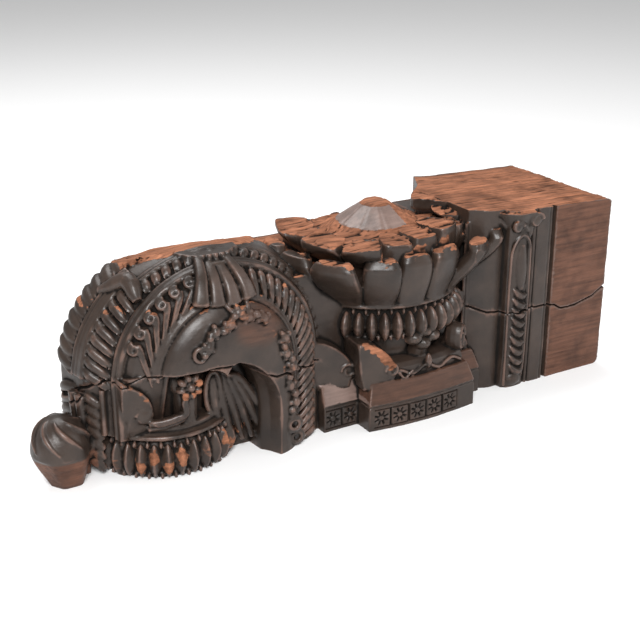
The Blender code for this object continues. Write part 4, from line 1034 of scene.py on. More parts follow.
@dataclass
class Block:
    """The square block: column, leaf strip, fillets and grooves on its front, and the torn shelf above."""

    length: float = 0.190
    height: float = 0.219
    end_height: float = 0.211
    front: float = 0.0905
    column_width: float = 0.040
    column_setback: float = 0.028
    column_bulge: float = 0.017
    strip_width: float = 0.030
    strip_rise: float = 0.0045
    groove_width: float = 0.007
    groove_depth: float = 0.006
    band_width: float = 0.0225
    core_top: float = 0.176

    @property
    def x(self) -> float:
        """The block's inner edge."""
        return END_X - self.length

    def top(self, x: Array) -> Array:
        """Height of the hewn top, which falls towards the sawn end."""
        return self.height + (self.end_height - self.height) * (np.asarray(x) - self.x) / self.length

    def outline(self) -> Array:
        """The block's plan: a round column, a raised strip, fillets, a flat band and a groove."""
        column = -self.front + self.column_setback
        points = [(self.x, BACK_DEPTH + SUNK), (self.x, column)]
        for share in np.linspace(0, 1, 18)[1:-1]:
            bulge = self.column_bulge * sin(pi * 0.62 * share)
            points.append((self.x + self.column_width * share, column - bulge))
        strip = self.x + self.column_width
        points += [(strip, -self.front + 0.0108), (strip + 0.001, -self.front + 0.004)]
        for share in np.linspace(0, 1, 9):
            rise = (self.strip_rise * 0.35 + self.groove_depth / 2) * sin(pi * share) ** 0.4
            points.append((strip + 0.0023 + self.strip_width * share,
                           -self.front + self.groove_depth / 2 - rise))
        band = strip + self.strip_width + self.groove_width
        points += [(band - 0.0035, -self.front + 0.0062), (band - 0.0030, -self.front + 0.0010),
                   (band - 0.0008, -self.front + 0.0002), (band + 0.0002, -self.front + 0.0028),
                   (band + 0.0016, -self.front + 0.0028), (band + 0.0026, -self.front)]
        groove = band + self.band_width
        points += [(groove - 0.0042, -self.front), (groove - 0.0036, -self.front + 0.0022),
                   (groove - 0.0022, -self.front + 0.0022), (groove - 0.0016, -self.front + 0.0004),
                   (groove, -self.front), (groove + 0.0030, -self.front + 0.0072),
                   (groove + 0.0042, -self.front + 0.0072), (groove + self.groove_width, -self.front),
                   (END_X, -self.front), (END_X, BACK_DEPTH + SUNK)]
        return np.array(points)

    def stock(self) -> list[Solid]:
        """The block itself and the core that ties it to the lotus and the arch."""
        outline = self.outline()
        rings = [np.column_stack((outline, np.full(len(outline), -SUNK))),
                 np.column_stack((outline, self.top(outline[:, 0])))]
        made = CARVER.skin("block", rings)
        round_radius, deep, far = 0.006, 0.13, 0.024
        for corner, sign in ((float(self.top(END_X)), 1), (0.0, -1)):
            arc = [(END_X - round_radius * (1 - cos(t)), corner - sign * round_radius * (1 - sin(t)))
                   for t in np.linspace(0, pi / 2, 9)]
            points = arc + [(END_X - round_radius, corner + sign * far), (END_X + far, corner + sign * far),
                            (END_X + far, corner - sign * round_radius)]
            rings = [[(x, y, z) for x, z in points] for y in (-deep, deep)]
            boolean(made, "DIFFERENCE", CARVER.skin("end_rounding", rings))
        boolean(made, "DIFFERENCE", self.tear())
        core = [(ARCH_X, -0.055), (self.x + 0.02, -0.055), (self.x + 0.02, BACK_DEPTH + SUNK),
                (ARCH_X, BACK_DEPTH + SUNK)]
        return [made, CARVER.prism("core", core, [-SUNK * 0.7, self.core_top])]

    def shelf(self) -> list[Solid]:
        """The torn shelf that the block's top runs out to, behind the lotus."""
        left = self.x - 0.030
        outline = spline([(left, 0.001), (left + 0.012, -0.008), (left + 0.030, -0.024),
                          (left + 0.052, -0.040), (self.x + 0.046, -0.056), (self.x + 0.052, -0.057),
                          (self.x + 0.054, 0.0), (self.x + 0.056, 0.100), (self.x + 0.043, 0.090),
                          (self.x + 0.024, 0.064), (self.x + 0.004, 0.044), (left + 0.012, 0.022),
                          (left + 0.001, 0.008)], 60)
        under = self.height - 0.013
        return [CARVER.prism("shelf", outline, [under, under + 0.002, lambda x: self.top(x)],
                             [0.97, 1.0, 1.0])]

    def tear(self) -> Solid:
        """Cutter for the corner torn off the top behind the shelf, with a splintered wall."""
        left = self.x - 0.030
        wall = spline([(left - 0.012, -0.004), (left, 0.004), (left + 0.018, 0.026), (left + 0.040, 0.050),
                       (left + 0.052, 0.070), (self.x + 0.041, 0.106)], 30)
        wall[:, 1] += 0.0012 * np.sin(wall[:, 0] * 900)
        outline = np.vstack((wall, (left - 0.012, 0.106)))
        return CARVER.prism("tear", outline, [self.height - 0.030, self.height + 0.012])

    def mouldings(self) -> list[Solid]:
        """Fillets beside the column and over its head, and the leaf strip with its torn panel."""
        made = []
        column = -self.front + self.column_setback
        for k, dx in enumerate((-0.0022, 0.0022)):
            path = spline([(self.x + dx, column - 0.001, -SUNK), (self.x + dx, column - 0.001, 0.10),
                           (self.x + dx, column - 0.001, 0.204)], 12)
            made.append(CARVER.tube(f"column_fillet_{k}", path, np.full(12, 0.0018), FRONT, 8))
        strip = self.x + self.column_width
        middle = strip + 0.0023 + self.strip_width / 2
        face = -self.front - self.strip_rise * 0.35
        edge = spline([(strip + 0.001, 0.004, 0.0), (strip + 0.001, 0.06, 0.0), (strip + 0.0012, 0.15, 0.0),
                       (strip + 0.004, 0.174, -0.001), (middle - 0.002, 0.187, -0.003),
                       (middle + 0.009, 0.178, -0.002), (middle + 0.0115, 0.15, 0.0),
                       (middle + 0.0115, 0.05, 0.0), (middle + 0.008, 0.012, -0.001),
                       (middle - 0.004, 0.006, -0.002)], 90)
        path = np.column_stack((edge[:, 0], face + 0.0004 + edge[:, 2] * 0.2, edge[:, 1]))
        made.append(CARVER.tube("strip_edge", path, np.full(90, 0.0017), FRONT, 8))
        path = spline([(middle + 0.001, face + 0.001, 0.122), (middle, face - 0.0004, 0.145),
                       (middle, face + 0.001, 0.176)], 14)
        sizes = np.column_stack((0.0070 * np.sin(np.linspace(0.5, 2.6, 14)), np.full(14, 0.0030)))
        made.append(CARVER.tube("leaf_panel", path, sizes, FRONT, 14))
        for k in range(9):
            z = 0.014 + 0.0118 * k
            places = [(middle + 0.0085, face, z + 0.006), (middle + 0.003, face - 0.0014, z + 0.0045),
                      (middle - 0.004, face - 0.0012, z + 0.0085), (middle - 0.0095, face, z + 0.015)]
            path = spline(places, 10)
            widths = 0.0040 * np.sin(np.linspace(0.5, 2.75, 10))
            made.append(CARVER.tube(f"strip_leaf_{k}", path, np.column_stack((widths, widths * 0.7)), FRONT,
                                    9))
        foot = np.array((middle - 0.001, face + 0.0035, 0.010))
        made.append(CARVER.bead("strip_foot", foot, (np.array((0.012, 0, 0)), UP * 0.010, FRONT * 0.007), 9,
                                14))
        return made

    def curl(self) -> list[Solid]:
        """The curled leaf at the head of the strip, torn off at the top."""
        middle = self.x + self.column_width + 0.0023 + self.strip_width / 2
        top = self.height - 0.0045
        rings = []
        for share in np.linspace(0, 1, 9):
            swing = sin(share * pi / 2)
            cheek = spline([(middle - 0.0315 * (0.55 + 0.45 * swing), -0.052),
                            (middle - 0.030 * (0.6 + 0.4 * swing),
                            -0.066 - 0.010 * swing), (middle - 0.012, -0.0875 - 0.0085 * swing),
                            (middle + 0.004, -0.0895 - 0.0085 * swing),
                            (middle + 0.0135, -0.0905 - 0.006 * swing), (middle + 0.0165, -0.078),
                            (middle + 0.012, -0.055)], 30)
            z = top - 0.030 * (1 - share) ** 1.6
            rings.append(np.column_stack((cheek, np.full(30, z))))
        made = [CARVER.skin("curl_leaf", rings)]
        for k, (dx, y, z, size) in enumerate(((0.0150, -0.0955, top - 0.011, 0.0088),
                                              (-0.010, -0.0940, top - 0.016, 0.0070))):
            coil = np.linspace(0, 2.4 * pi, 22)
            radius = size * (1 - 0.7 * coil / coil[-1])
            eye = np.array((middle + dx, y, z))
            path = eye + np.column_stack((radius * np.cos(coil), 0 * coil, radius * np.sin(coil)))
            made.append(CARVER.tube(f"curl_{k}", path, np.linspace(0.0032, 0.0018, 22), FRONT, 8))
            made.append(CARVER.bead(f"curl_eye_{k}", eye - FRONT * 0.002,
                                    (UP * size * 0.95, np.array((size * 0.95, 0, 0)), FRONT * 0.005)))
        for k in range(3):
            start = np.array((middle - 0.028 + 0.010 * k, -0.076 - 0.006 * k, top - 0.003))
            path = spline([tuple(start), tuple(start + (0.006, -0.0045, -0.010)),
                           tuple(start + (0.015, -0.0040, -0.020))], 10)
            made.append(CARVER.tube(f"curl_vein_{k}", path, 0.0024 * np.sin(np.linspace(0.4, 2.7, 10)), FRONT,
                                    7))
        return made

    def carve(self) -> list[Solid]:
        """Every solid of the block."""
        return self.stock() + self.shelf() + self.mouldings() + self.curl()


class Mask(Enum):
    """What a place on the surface has been through, and where shade and a highlight are painted into its
    colour.
    """

    RAW = "raw"
    WORN = "worn"
    # Painted shade: the colour is darkened in crevices and in the tiles' cut lines, where shade falls.
    HOLLOW = "painted_shade"
    BARE = "bare"
    CRACK = "crack"
    # Pale faces, and a painted highlight on the spray's front faces.
    PALE = "pale"


@dataclass
class Surface:
    """Works the joined skin: hews its tops, cuts its cracks and tiles, roughens it and marks its wear, its
    painted shade in crevices and a painted highlight on the spray.
    """

    piece: Solid
    voxel: float
    cracks: tuple[tuple[tuple[float, float], ...], ...] = (
        ((-0.302, 0.079), (-0.277, 0.108), (-0.258, 0.109), (-0.241, 0.114), (-0.215, 0.1135),
         (-0.192, 0.1145), (-0.175, 0.117), (-0.158, 0.1155), (-0.145, 0.106), (-0.131, 0.0995),
         (-0.107, 0.092), (-0.085, 0.090), (-0.0585, 0.084), (-0.040, 0.083)),
        ((0.160, 0.104), (0.180, 0.0955), (0.200, 0.094), (0.214, 0.094), (0.238, 0.095), (0.256, 0.094),
         (0.272, 0.091), (0.281, 0.0855), (0.293, 0.0845), (0.306, 0.0855), (0.330, 0.091), (0.349, 0.102)),
    )
    tile: float = 0.0205
    spots: Array = field(init=False)
    normals: Array = field(init=False)
    edges: Array = field(init=False)

    def read(self) -> None:
        """Take the places, normals and edges from the mesh."""
        mesh = self.piece.data
        self.spots = points_of(mesh)
        flat = np.empty(len(mesh.vertices) * 3)
        mesh.vertex_normals.foreach_get("vector", flat)
        self.normals = flat.reshape(-1, 3)
        pairs = np.empty(len(mesh.edges) * 2, dtype=np.int32)
        mesh.edges.foreach_get("vertices", pairs)
        self.edges = pairs.reshape(-1, 2)

    def write(self) -> None:
        """Put the places back, kept within the solid's box."""
        low = np.array(LOW) - (0, SHIFT_Y, 0)
        high = np.array(HIGH) - (0, SHIFT_Y, 0)
        self.spots = np.clip(self.spots, low, high)
        self.piece.data.vertices.foreach_set("co", self.spots.ravel())
        self.piece.data.update()

    def spread(self, values: Array, times: int) -> Array:
        """Even out values, or rows of them, over neighbouring places."""
        a, b = self.edges[:, 0], self.edges[:, 1]
        count = len(self.spots)
        degree = np.bincount(a, minlength=count) + np.bincount(b, minlength=count)
        columns = values.reshape(count, -1).copy()
        for _ in range(times):
            for k in range(columns.shape[1]):
                column = columns[:, k]
                total = np.bincount(a, column[b], count) + np.bincount(b, column[a], count)
                columns[:, k] = 0.5 * column + 0.5 * total / degree
        return columns.reshape(values.shape)

    def near(self, line: Array, reach: float) -> Array:
        """How close each place is to a line in x and z, from 1 on it to 0 at the reach."""
        flat = self.spots[:, (0, 2)]
        best = np.full(len(flat), 1.0)
        line = np.asarray(line)
        near = (flat[:, 0] > line[:, 0].min() - reach) & (flat[:, 0] < line[:, 0].max() + reach)
        near &= (flat[:, 1] > line[:, 1].min() - reach) & (flat[:, 1] < line[:, 1].max() + reach)
        chosen = flat[near]
        closest = np.full(len(chosen), 1.0)
        for start, end in zip(line, line[1:]):
            span = end - start
            share = np.clip((chosen - start) @ span / (span @ span), 0, 1)
            closest = np.minimum(closest, np.linalg.norm(chosen - start - share[:, None] * span, axis=1))
        best[near] = closest
        return np.clip(1 - best / reach, 0, 1)

    def hew(self, lotus: Lotus, block: Block, arch: Arch) -> Array:
        """Hew the broken tops down. Returns how raw each place is left."""
        x, y, z = self.spots.T
        fibre = 0.7 * NOISE.at(self.spots, (0.055, 0.0055, 0.02))
        fibre = fibre + 0.3 * NOISE.at(self.spots, (0.02, 0.0024, 0.01))
        lump = NOISE.at(self.spots, (0.05, 0.022, 0.05))
        fall = np.maximum(y + 0.034, -0.004) / (BACK_DEPTH + 0.038)
        crown = ARCH_TOP + (ARCH_TOP_BACK - ARCH_TOP) * fall
        crown = crown + 0.0022 * lump + 0.0016 * fibre
        right = arch.x + 0.112
        over = (x < right) & (z > crown) & (y > -0.036 + 0.006 * lump)
        near = (x < right) & (x > arch.x - 0.082) & (y > -0.0375 + 0.003 * lump) & (self.normals[:, 2] > 0.3)
        near &= z > crown - 0.0075 - 0.03 * ease(y, 0.0, 0.03) + 0.003 * lump
        raw = np.maximum(over, near).astype(float)
        z = np.where(over, crown, z)
        head = self.normals[:, 2] > 0.45
        upper = (x > right) & (x < block.x) & (z > np.where(y > -0.02, 0.178, 0.192)) & head
        away = np.hypot(x - lotus.x, y)
        petals = upper & (away > 0.044)
        raw = np.maximum(raw, petals)
        cone = (away <= 0.046) & (z > 0.204)
        raw = np.maximum(raw, cone * ((x > lotus.x + 0.006 - 0.25 * y) & (y < 0.012) | (z > 0.2235)))
        terrace = np.round(1.6 * NOISE.at(self.spots, (0.045, 0.016, 0.4)))
        z = z + np.where(petals, 0.0022 * fibre + 0.0022 * lump + 0.0016 * terrace - 0.0012, 0)
        top = (x >= block.x - 0.034) & (z > 0.196) & (self.normals[:, 2] > 0.6) & (away > 0.080)
        raw = np.maximum(raw, top)
        z = z + np.where(top, 0.0009 * fibre + 0.0012 * lump - 0.0014, 0)
        core = (np.abs(z - block.core_top) < 0.004) & (self.normals[:, 2] > 0.7) & (x < block.x)
        raw = np.maximum(raw, 0.75 * core)
        self.spots = np.column_stack((x, y, z))
        return raw

    def tips(self, lotus: Lotus, foot: Foot) -> Array:
        """Raw chips at petal tips, beads, the fin's edge, the front crocket and the flowers."""
        raw = np.zeros(len(self.spots))
        step, first = 2 * pi / lotus.petals, radians(lotus.petal_turn)
        chips = []
        for k, amount in zip(range(-4, 5), (0.3, 0.25, 0.35, 0.55, 0.7, 1.0, 0.9, 1.0, 0.2)):
            turn = first + k * step
            reach = lotus.reach(turn) - 0.006
            chips.append(((lotus.x + reach * sin(turn + 0.04), -reach * cos(turn + 0.04), 0.1945), 0.0095,
                          amount))
        ring = [(-3, 1.0), (-2, 0.9), (-1, 1.0), (0, 0.9), (2, 0.4), (4, 0.8), (5, 0.6), (6, 0.9), (-5, 0.4)]
        for k, amount in ring:
            turn = 2 * pi * k / foot.beads - radians(8)
            reach = foot.radius + 0.006
            level = 0.014 if k % 2 else 0.026
            chips.append(((foot.x + reach * sin(turn), foot.y - reach * cos(turn), level), 0.0085, amount))
        fin_x, fin_y = foot.fin_place
        for dx, dz in ((0.001, 0.062), (0.008, 0.059), (0.019, 0.050), (0.026, 0.041)):
            chips.append(((fin_x + dx - 0.003, fin_y - 0.021, foot.top + dz - 0.006), 0.0040, 0.55))
        for dx, z in ((-0.076, 0.106), (-0.068, 0.101), (-0.060, 0.094), (-0.052, 0.087), (-0.045, 0.080),
                      (-0.040, 0.073)):
            chips.append(((lotus.x + dx, -0.098, z), 0.0080, 0.9))
        flower = foot.flower
        chips += [((flower[0] + 0.009, flower[1] - 0.004, flower[2] + 0.004), 0.006, 0.8),
                  ((flower[0] + 0.006, flower[1] - 0.004, flower[2] - 0.009), 0.006, 0.9),
                  ((flower[0] - 0.006, flower[1] - 0.004, flower[2] - 0.009), 0.005, 0.7)]
        for dx, z in ((-0.005, 0.160), (0.010, 0.166), (0.035, 0.154), (0.048, 0.140), (0.058, 0.124),
                      (0.062, 0.098)):
            chips.append(((ARCH_X + dx, -0.103, z), 0.0075, 0.42))
        ragged = 1 + 0.45 * NOISE.at(self.spots, 0.004)
        for centre, reach, amount in chips:
            away = np.linalg.norm(self.spots - np.array(centre), axis=1) / reach * ragged
            raw = np.maximum(raw, amount * (1 - ease(away, 0.75, 1.1)))
        return raw

    def tiles(self, lotus: Lotus) -> Array:
        """Cut the squares with their eight-petalled flowers into the plinth's band. Returns the cuts."""
        x, y, z = self.spots.T
        cut = np.zeros(len(self.spots))
        half, middle = lotus.plinth_width / 2, 0.0142
        front = (self.normals[:, 1] < -0.6) & (y < -lotus.wing_front + 0.003)
        front &= z < lotus.plinth_height - 0.002
        for first, count, low, high in ((-0.0565, 5, -half + 0.006, half - 0.006),
                                        (-0.1025, 2, -0.112, -half - 0.002)):
            inside = front & (x - lotus.x > low) & (x - lotus.x < high)
            for k in range(count):
                u = (x - lotus.x - first - k * (self.tile + 0.0022)) / (self.tile / 2)
                v = (z - middle) / (self.tile / 2)
                here = inside & (np.abs(u) < 1.15) & (np.abs(v) < 1.15)
                away = np.hypot(u, v)
                turn = np.arctan2(v, u)
                slot = np.abs(((turn / (pi / 4)) % 1) - 0.5) * (pi / 4) * away
                petal = (1 - ease(slot, 0.07, 0.16)) * ease(away, 0.22, 0.34) * (1 - ease(away, 0.78, 0.94))
                frame_line = 1 - ease(np.abs(np.maximum(np.abs(u), np.abs(v)) - 1.03), 0.03, 0.10)
                cut = np.where(here, np.maximum(cut, np.maximum(petal, frame_line)), cut)
        self.spots = self.spots - self.normals * (cut * 0.0017)[:, None]
        return cut

    def crack(self) -> Array:
        """Open the cracks that run across the front. Returns how deep in a crack each place is."""
        facing = self.normals[:, 1] < 0.25
        wobble = 0.0006 * NOISE.at(self.spots, 0.007)
        held = self.spots.copy()
        self.spots[:, 2] += wobble
        total = np.zeros(len(self.spots))
        for line in self.cracks:
            total = np.maximum(total, self.near(np.array(line), 0.0015))
        x, y, z = self.spots.T
        end = (x > 0.345) & (y < BACK_DEPTH - 0.008) & (np.abs(z - 0.104 - 0.004 * y / 0.1) < 0.0012)
        total = np.where(facing, total, 0) + 0.6 * end
        self.spots = held - self.normals * (ease(total, 0.05, 0.9) * 0.0026)[:, None]
        return ease(total, 0.1, 0.8)

    def work(self, lotus: Lotus, block: Block, arch: Arch, foot: Foot) -> None:
        """Do all of it, and leave the masks on the mesh."""
        self.read()
        raw = self.hew(lotus, block, arch)
        self.spots = self.spread(self.spots, 1)
        self.write()
        self.read()
        x, y, z = self.spots.T
        raw = np.maximum(raw, self.tips(lotus, foot))
        strip_end = block.x + block.column_width + block.strip_width
        groove_end = strip_end + block.groove_width + block.band_width + 0.006
        bare = ease(x, groove_end, groove_end + 0.001) * (z > 0)
        bud_foot = (x < LOW.x + 0.064) * ease(-z, -0.036, -0.031) * (y < 0.004) * (y > -0.070)
        bare = np.maximum(bare, 0.9 * bud_foot)
        slope = (z > lotus.plinth_height) & (z < 0.0535) & (np.abs(x - lotus.x) < 0.12) & (y < -0.070)
        bare = np.maximum(bare, 0.55 * slope * (self.normals[:, 2] > 0.08))
        away = np.hypot(x - lotus.x, y)
        # A pale tone on the seed head's up-facing top.
        pale = (away < 0.060) & (z > 0.2005) & (self.normals[:, 2] > 0.3) & (raw < 0.5)
        # The spray's front-facing faces get a painted highlight in the same pale tone.
        tip = np.linalg.norm(self.spots - np.array((arch.x + 0.004, -0.094, 0.193)), axis=1)
        pale = np.maximum(pale, 0.30 * (1 - ease(tip, 0.020, 0.034)) * ease(-self.normals[:, 1], 0.2, 0.7))
        # The left wing's slope gets the pale tone too.
        wing = slope & (x < lotus.x - lotus.plinth_width / 2 + 0.001) & (self.normals[:, 2] > 0.08)
        pale = np.maximum(pale, 0.75 * wing)
        rub = np.hypot(x - arch.x - 0.030, 1.3 * (z - 0.152))
        hooded = (y < -0.082) & (z > 0.116) & (x > arch.x - 0.02) & (x < arch.x + 0.078)
        bare = np.maximum(bare, 0.50 * (1 - ease(rub, 0.018, 0.046)) * hooded)
        cut = self.tiles(lotus)
        cracks = self.crack()
        fibre = NOISE.at(self.spots, (0.030, 0.0022, 0.0022))
        fine = NOISE.at(self.spots, (0.012, 0.0012, 0.0012))
        lump = NOISE.at(self.spots, 0.016)
        shift = raw * (0.00055 * fibre + 0.00030 * fine) + bare * (0.00022 * fibre + 0.00012 * fine)
        shift = shift + 0.00032 * lump + 0.00010 * NOISE.at(self.spots, 0.0045)
        self.spots = self.spots + self.normals * shift[:, None]
        near = self.spread(self.spots, 3)
        wide = self.spread(near, 22)
        convex = np.einsum("ij,ij->i", self.spots - near, self.normals) / self.voxel
        bulge = np.einsum("ij,ij->i", self.spots - wide, self.normals) / self.voxel
        worn = ease(convex * 2.2 + bulge * 0.55 + 0.12 * lump, 0.22, 0.85)
        # Painted shade: places that lie hollow, and the tiles' cut lines, are darkened where shade falls.
        painted_shade = ease(-bulge - convex, 0.03, 0.85)
        painted_shade = np.maximum(painted_shade, cut * 0.75)
        band = (z < lotus.plinth_height) & (np.abs(x - lotus.x) < 0.12) & (y < -lotus.wing_front + 0.004)
        worn = worn * np.where(band, 0.35, 1.0)
        self.write()
        values = {Mask.RAW: raw, Mask.WORN: self.spread(worn, 1), Mask.HOLLOW: self.spread(painted_shade, 1),
                  Mask.BARE: bare, Mask.CRACK: cracks, Mask.PALE: pale}
        back = self.spots[:, 1] > BACK_DEPTH - 0.0035
        for mask, value in values.items():
            value = np.where(back, 0.85 if mask is Mask.BARE else 0.0, value)
            layer = self.piece.data.attributes.new(mask.value, "FLOAT", "POINT")
            layer.data.foreach_set("value", np.ascontiguousarray(value, dtype=np.float32))


def modifier_done(piece: Solid, kind: str, **values: object) -> None:
    """Add a modifier with these values and apply it."""
    pick(piece)
    modifier = piece.modifiers.new(kind.lower(), kind)
    for name, value in values.items():
        setattr(modifier, name, value)
    bpy.ops.object.modifier_apply(modifier=modifier.name)


def sliced(piece: Solid, place: tuple[float, float, float], way: tuple[float, float, float]) -> None:
    """Saw a piece flat: all beyond a plane goes, and the cut is closed."""
    pick(piece)
    bpy.ops.object.mode_set(mode="EDIT")
    bpy.ops.mesh.select_all(action="SELECT")
    bpy.ops.mesh.bisect(plane_co=place, plane_no=way, use_fill=True, clear_outer=True, clear_inner=False,
                        threshold=1e-7)
    bpy.ops.object.mode_set(mode="OBJECT")


@dataclass
class Region:
    """One piece of the carved timber, parted from the rest at creases of the carving."""

    name: str
    start: float | None
    stop: float | None
    triangles: int

    def part(self, whole: Solid) -> Solid:
        """Copy the region out of the whole and thin its mesh where it is plain."""
        made = whole.copy()
        made.data = whole.data.copy()
        made.name = self.name
        bpy.context.scene.collection.objects.link(made)
        if self.start is not None:
            sliced(made, (self.start, 0, 0), (-1, 0, 0))
        if self.stop is not None:
            sliced(made, (self.stop, 0, 0), (1, 0, 0))
        modifier_done(made, "TRIANGULATE")
        ratio = min(1.0, self.triangles / len(made.data.polygons))
        modifier_done(made, "DECIMATE", ratio=ratio)
        pick(made)
        bpy.ops.object.shade_smooth_by_angle(angle=radians(48))
        LOG.info("%s: %d triangles", self.name, len(made.data.polygons))
        return made


@dataclass(frozen=True)
class Tone:
    """A colour with its roughness."""

    colour: tuple[float, float, float]
    roughness: float
    shine: float = 0.5

    def stained(self) -> "Tone":
        """The same wood where old dirt has darkened it."""
        return Tone(tuple(c * 0.42 for c in self.colour), self.roughness, self.shine)


@dataclass(frozen=True)
class Timber:
    """The old, dark, dry wood with its patina, its rubbed edges and its raw breaks, with painted shade in its
    crevices and a painted highlight on the spray.
    """

    patina: Tone = Tone((0.027, 0.0175, 0.0130), 0.36, 0.36)
    # deep: near-black, used for the painted shade in crevices and for the dark of the cracks.
    deep: Tone = Tone((0.0055, 0.0042, 0.0034), 0.75, 0.10)
    rubbed: Tone = Tone((0.088, 0.050, 0.037), 0.36, 0.45)
    raw: Tone = Tone((0.255, 0.105, 0.057), 0.70, 0.12)
    bare: Tone = Tone((0.098, 0.043, 0.026), 0.55, 0.22)
    # smooth: the pale tone of the seed head's top and the left wing's slope, and the painted highlight on the
    # spray's front faces.
    smooth: Tone = Tone((0.190, 0.130, 0.110), 0.36, 0.45)

    def grain_group(self) -> bpy.types.NodeTree:
        """Long fibres along the timber, as a value and as a finer value for the bump."""
        group = bpy.data.node_groups.new("long_grain", "ShaderNodeTree")
        group.interface.new_socket("Stretch", in_out="INPUT", socket_type="NodeSocketFloat")
        group.interface.new_socket("Fibre", in_out="OUTPUT", socket_type="NodeSocketFloat")
        group.interface.new_socket("Pores", in_out="OUTPUT", socket_type="NodeSocketFloat")
        group.interface.new_socket("Cloud", in_out="OUTPUT", socket_type="NodeSocketFloat")
        nodes, links = group.nodes, group.links
        inside, outside = nodes.new("NodeGroupInput"), nodes.new("NodeGroupOutput")
        place = nodes.new("ShaderNodeTexCoord")
        stretch = nodes.new("ShaderNodeCombineXYZ")
        stretch.inputs[1].default_value = 1.0
        stretch.inputs[2].default_value = 1.0
        links.new(inside.outputs["Stretch"], stretch.inputs[0])
        scaled = nodes.new("ShaderNodeVectorMath")
        scaled.operation = "MULTIPLY"
        links.new(place.outputs["Object"], scaled.inputs[0])
        links.new(stretch.outputs[0], scaled.inputs[1])
        for socket, scale, detail, source in (("Fibre", 260.0, 6.0, scaled), ("Pores", 900.0, 3.0, scaled),
                                              ("Cloud", 26.0, 5.0, place)):
            noise = nodes.new("ShaderNodeTexNoise")
            noise.inputs["Scale"].default_value = scale
            noise.inputs["Detail"].default_value = detail
            noise.inputs["Roughness"].default_value = 0.6
            out = source.outputs["Object"] if source is place else source.outputs[0]
            links.new(out, noise.inputs["Vector"])
            links.new(noise.outputs["Fac"], outside.inputs[socket])
        return group

    def maths(self, tree: bpy.types.NodeTree, operation: str,
              *values: bpy.types.NodeSocket | float) -> bpy.types.NodeSocket:
        """A sum, a product or the like of sockets and plain numbers."""
        made = tree.nodes.new("ShaderNodeMath")
        made.operation = operation
        for socket, value in zip(made.inputs, values):
            if isinstance(value, float):
                socket.default_value = value
            else:
                tree.links.new(value, socket)
        return made.outputs[0]

    def mask_group(self) -> bpy.types.NodeTree:
        """A mask whose edge is broken up by noise, from a smooth mask."""
        group = bpy.data.node_groups.new("ragged_mask", "ShaderNodeTree")
        for name in ("Mask", "Noise", "Amount", "Sharpness"):
            group.interface.new_socket(name, in_out="INPUT", socket_type="NodeSocketFloat")
        group.interface.new_socket("Mask", in_out="OUTPUT", socket_type="NodeSocketFloat")
        nodes, links = group.nodes, group.links
        inside, outside = nodes.new("NodeGroupInput"), nodes.new("NodeGroupOutput")
        centred = self.maths(group, "SUBTRACT", inside.outputs["Noise"], 0.5)
        spread = self.maths(group, "MULTIPLY_ADD", centred, inside.outputs["Amount"], inside.outputs["Mask"])
        low = self.maths(group, "SUBTRACT", 0.5, inside.outputs["Sharpness"])
        high = self.maths(group, "ADD", 0.5, inside.outputs["Sharpness"])
        step = nodes.new("ShaderNodeMapRange")
        step.interpolation_type = "SMOOTHSTEP"
        links.new(spread, step.inputs["Value"])
        links.new(low, step.inputs["From Min"])
        links.new(high, step.inputs["From Max"])
        links.new(step.outputs["Result"], outside.inputs["Mask"])
        return group

    def material(self) -> bpy.types.Material:
        """The wood's material, from the masks that the surface carries."""
        made = bpy.data.materials.new("carved_wood")
        made.use_nodes = True
        tree = made.node_tree
        nodes, links = tree.nodes, tree.links
        shader = nodes["Principled BSDF"]
        grain = nodes.new("ShaderNodeGroup")
        grain.node_tree = self.grain_group()
        grain.inputs["Stretch"].default_value = 0.07
        ragged = self.mask_group()
        masks = {}
        plan = {Mask.RAW: ("Fibre", 0.55, 0.18), Mask.WORN: ("Cloud", 0.75, 0.40),
                Mask.HOLLOW: ("Cloud", 0.30, 0.48),
                Mask.BARE: ("Cloud", 0.45, 0.35), Mask.CRACK: ("Fibre", 0.20, 0.40),
                Mask.PALE: ("Cloud", 0.6, 0.45)}
        for mask, (source, amount, sharpness) in plan.items():
            layer = nodes.new("ShaderNodeAttribute")
            layer.attribute_type = "GEOMETRY"
            layer.attribute_name = mask.value
            broken = nodes.new("ShaderNodeGroup")
            broken.node_tree = ragged
            broken.inputs["Amount"].default_value = amount
            broken.inputs["Sharpness"].default_value = sharpness
            links.new(layer.outputs["Fac"], broken.inputs["Mask"])
            links.new(grain.outputs[source], broken.inputs["Noise"])
            masks[mask] = broken.outputs["Mask"]
        stains = nodes.new("ShaderNodeGroup")
        stains.node_tree = ragged
        for name, value in (("Mask", 0.40), ("Amount", 1.5), ("Sharpness", 0.28)):
            stains.inputs[name].default_value = value
        links.new(grain.outputs["Cloud"], stains.inputs["Noise"])
        colour = self.tinted(tree, grain.outputs["Cloud"], self.patina, 0.45)
        rough, shine = self.patina.roughness, self.patina.shine
        order = ((Mask.BARE, self.bare, "Fibre", 0.42), (Mask.PALE, self.smooth, "Fibre", 0.18),
                 (Mask.WORN, self.rubbed, "Cloud", 0.35), (Mask.RAW, self.raw, "Fibre", 0.50),
                 # The deep tone paints shade into the crevices and darkens the cracks.
                 (Mask.HOLLOW, self.deep, "Cloud", 0.10), (Mask.CRACK, self.deep, "Cloud", 0.10))
        for mask, tone, source, amount in order:
            layer = self.tinted(tree, grain.outputs[source], tone, amount)
            if source == "Fibre":
                stained = self.tinted(tree, grain.outputs[source], tone.stained(), amount)
                layer = self.blend(tree, stains.outputs["Mask"], layer, stained)
            colour = self.blend(tree, masks[mask], colour, layer)
            rough = self.blend_value(tree, masks[mask], rough, tone.roughness)
            shine = self.blend_value(tree, masks[mask], shine, tone.shine)
        links.new(colour, shader.inputs["Base Color"])
        links.new(rough, shader.inputs["Roughness"])
        links.new(shine, shader.inputs["Specular IOR Level"])
        shader.inputs["Metallic"].default_value = 0.0
        links.new(self.bumped(tree, grain, masks), shader.inputs["Normal"])
        return made

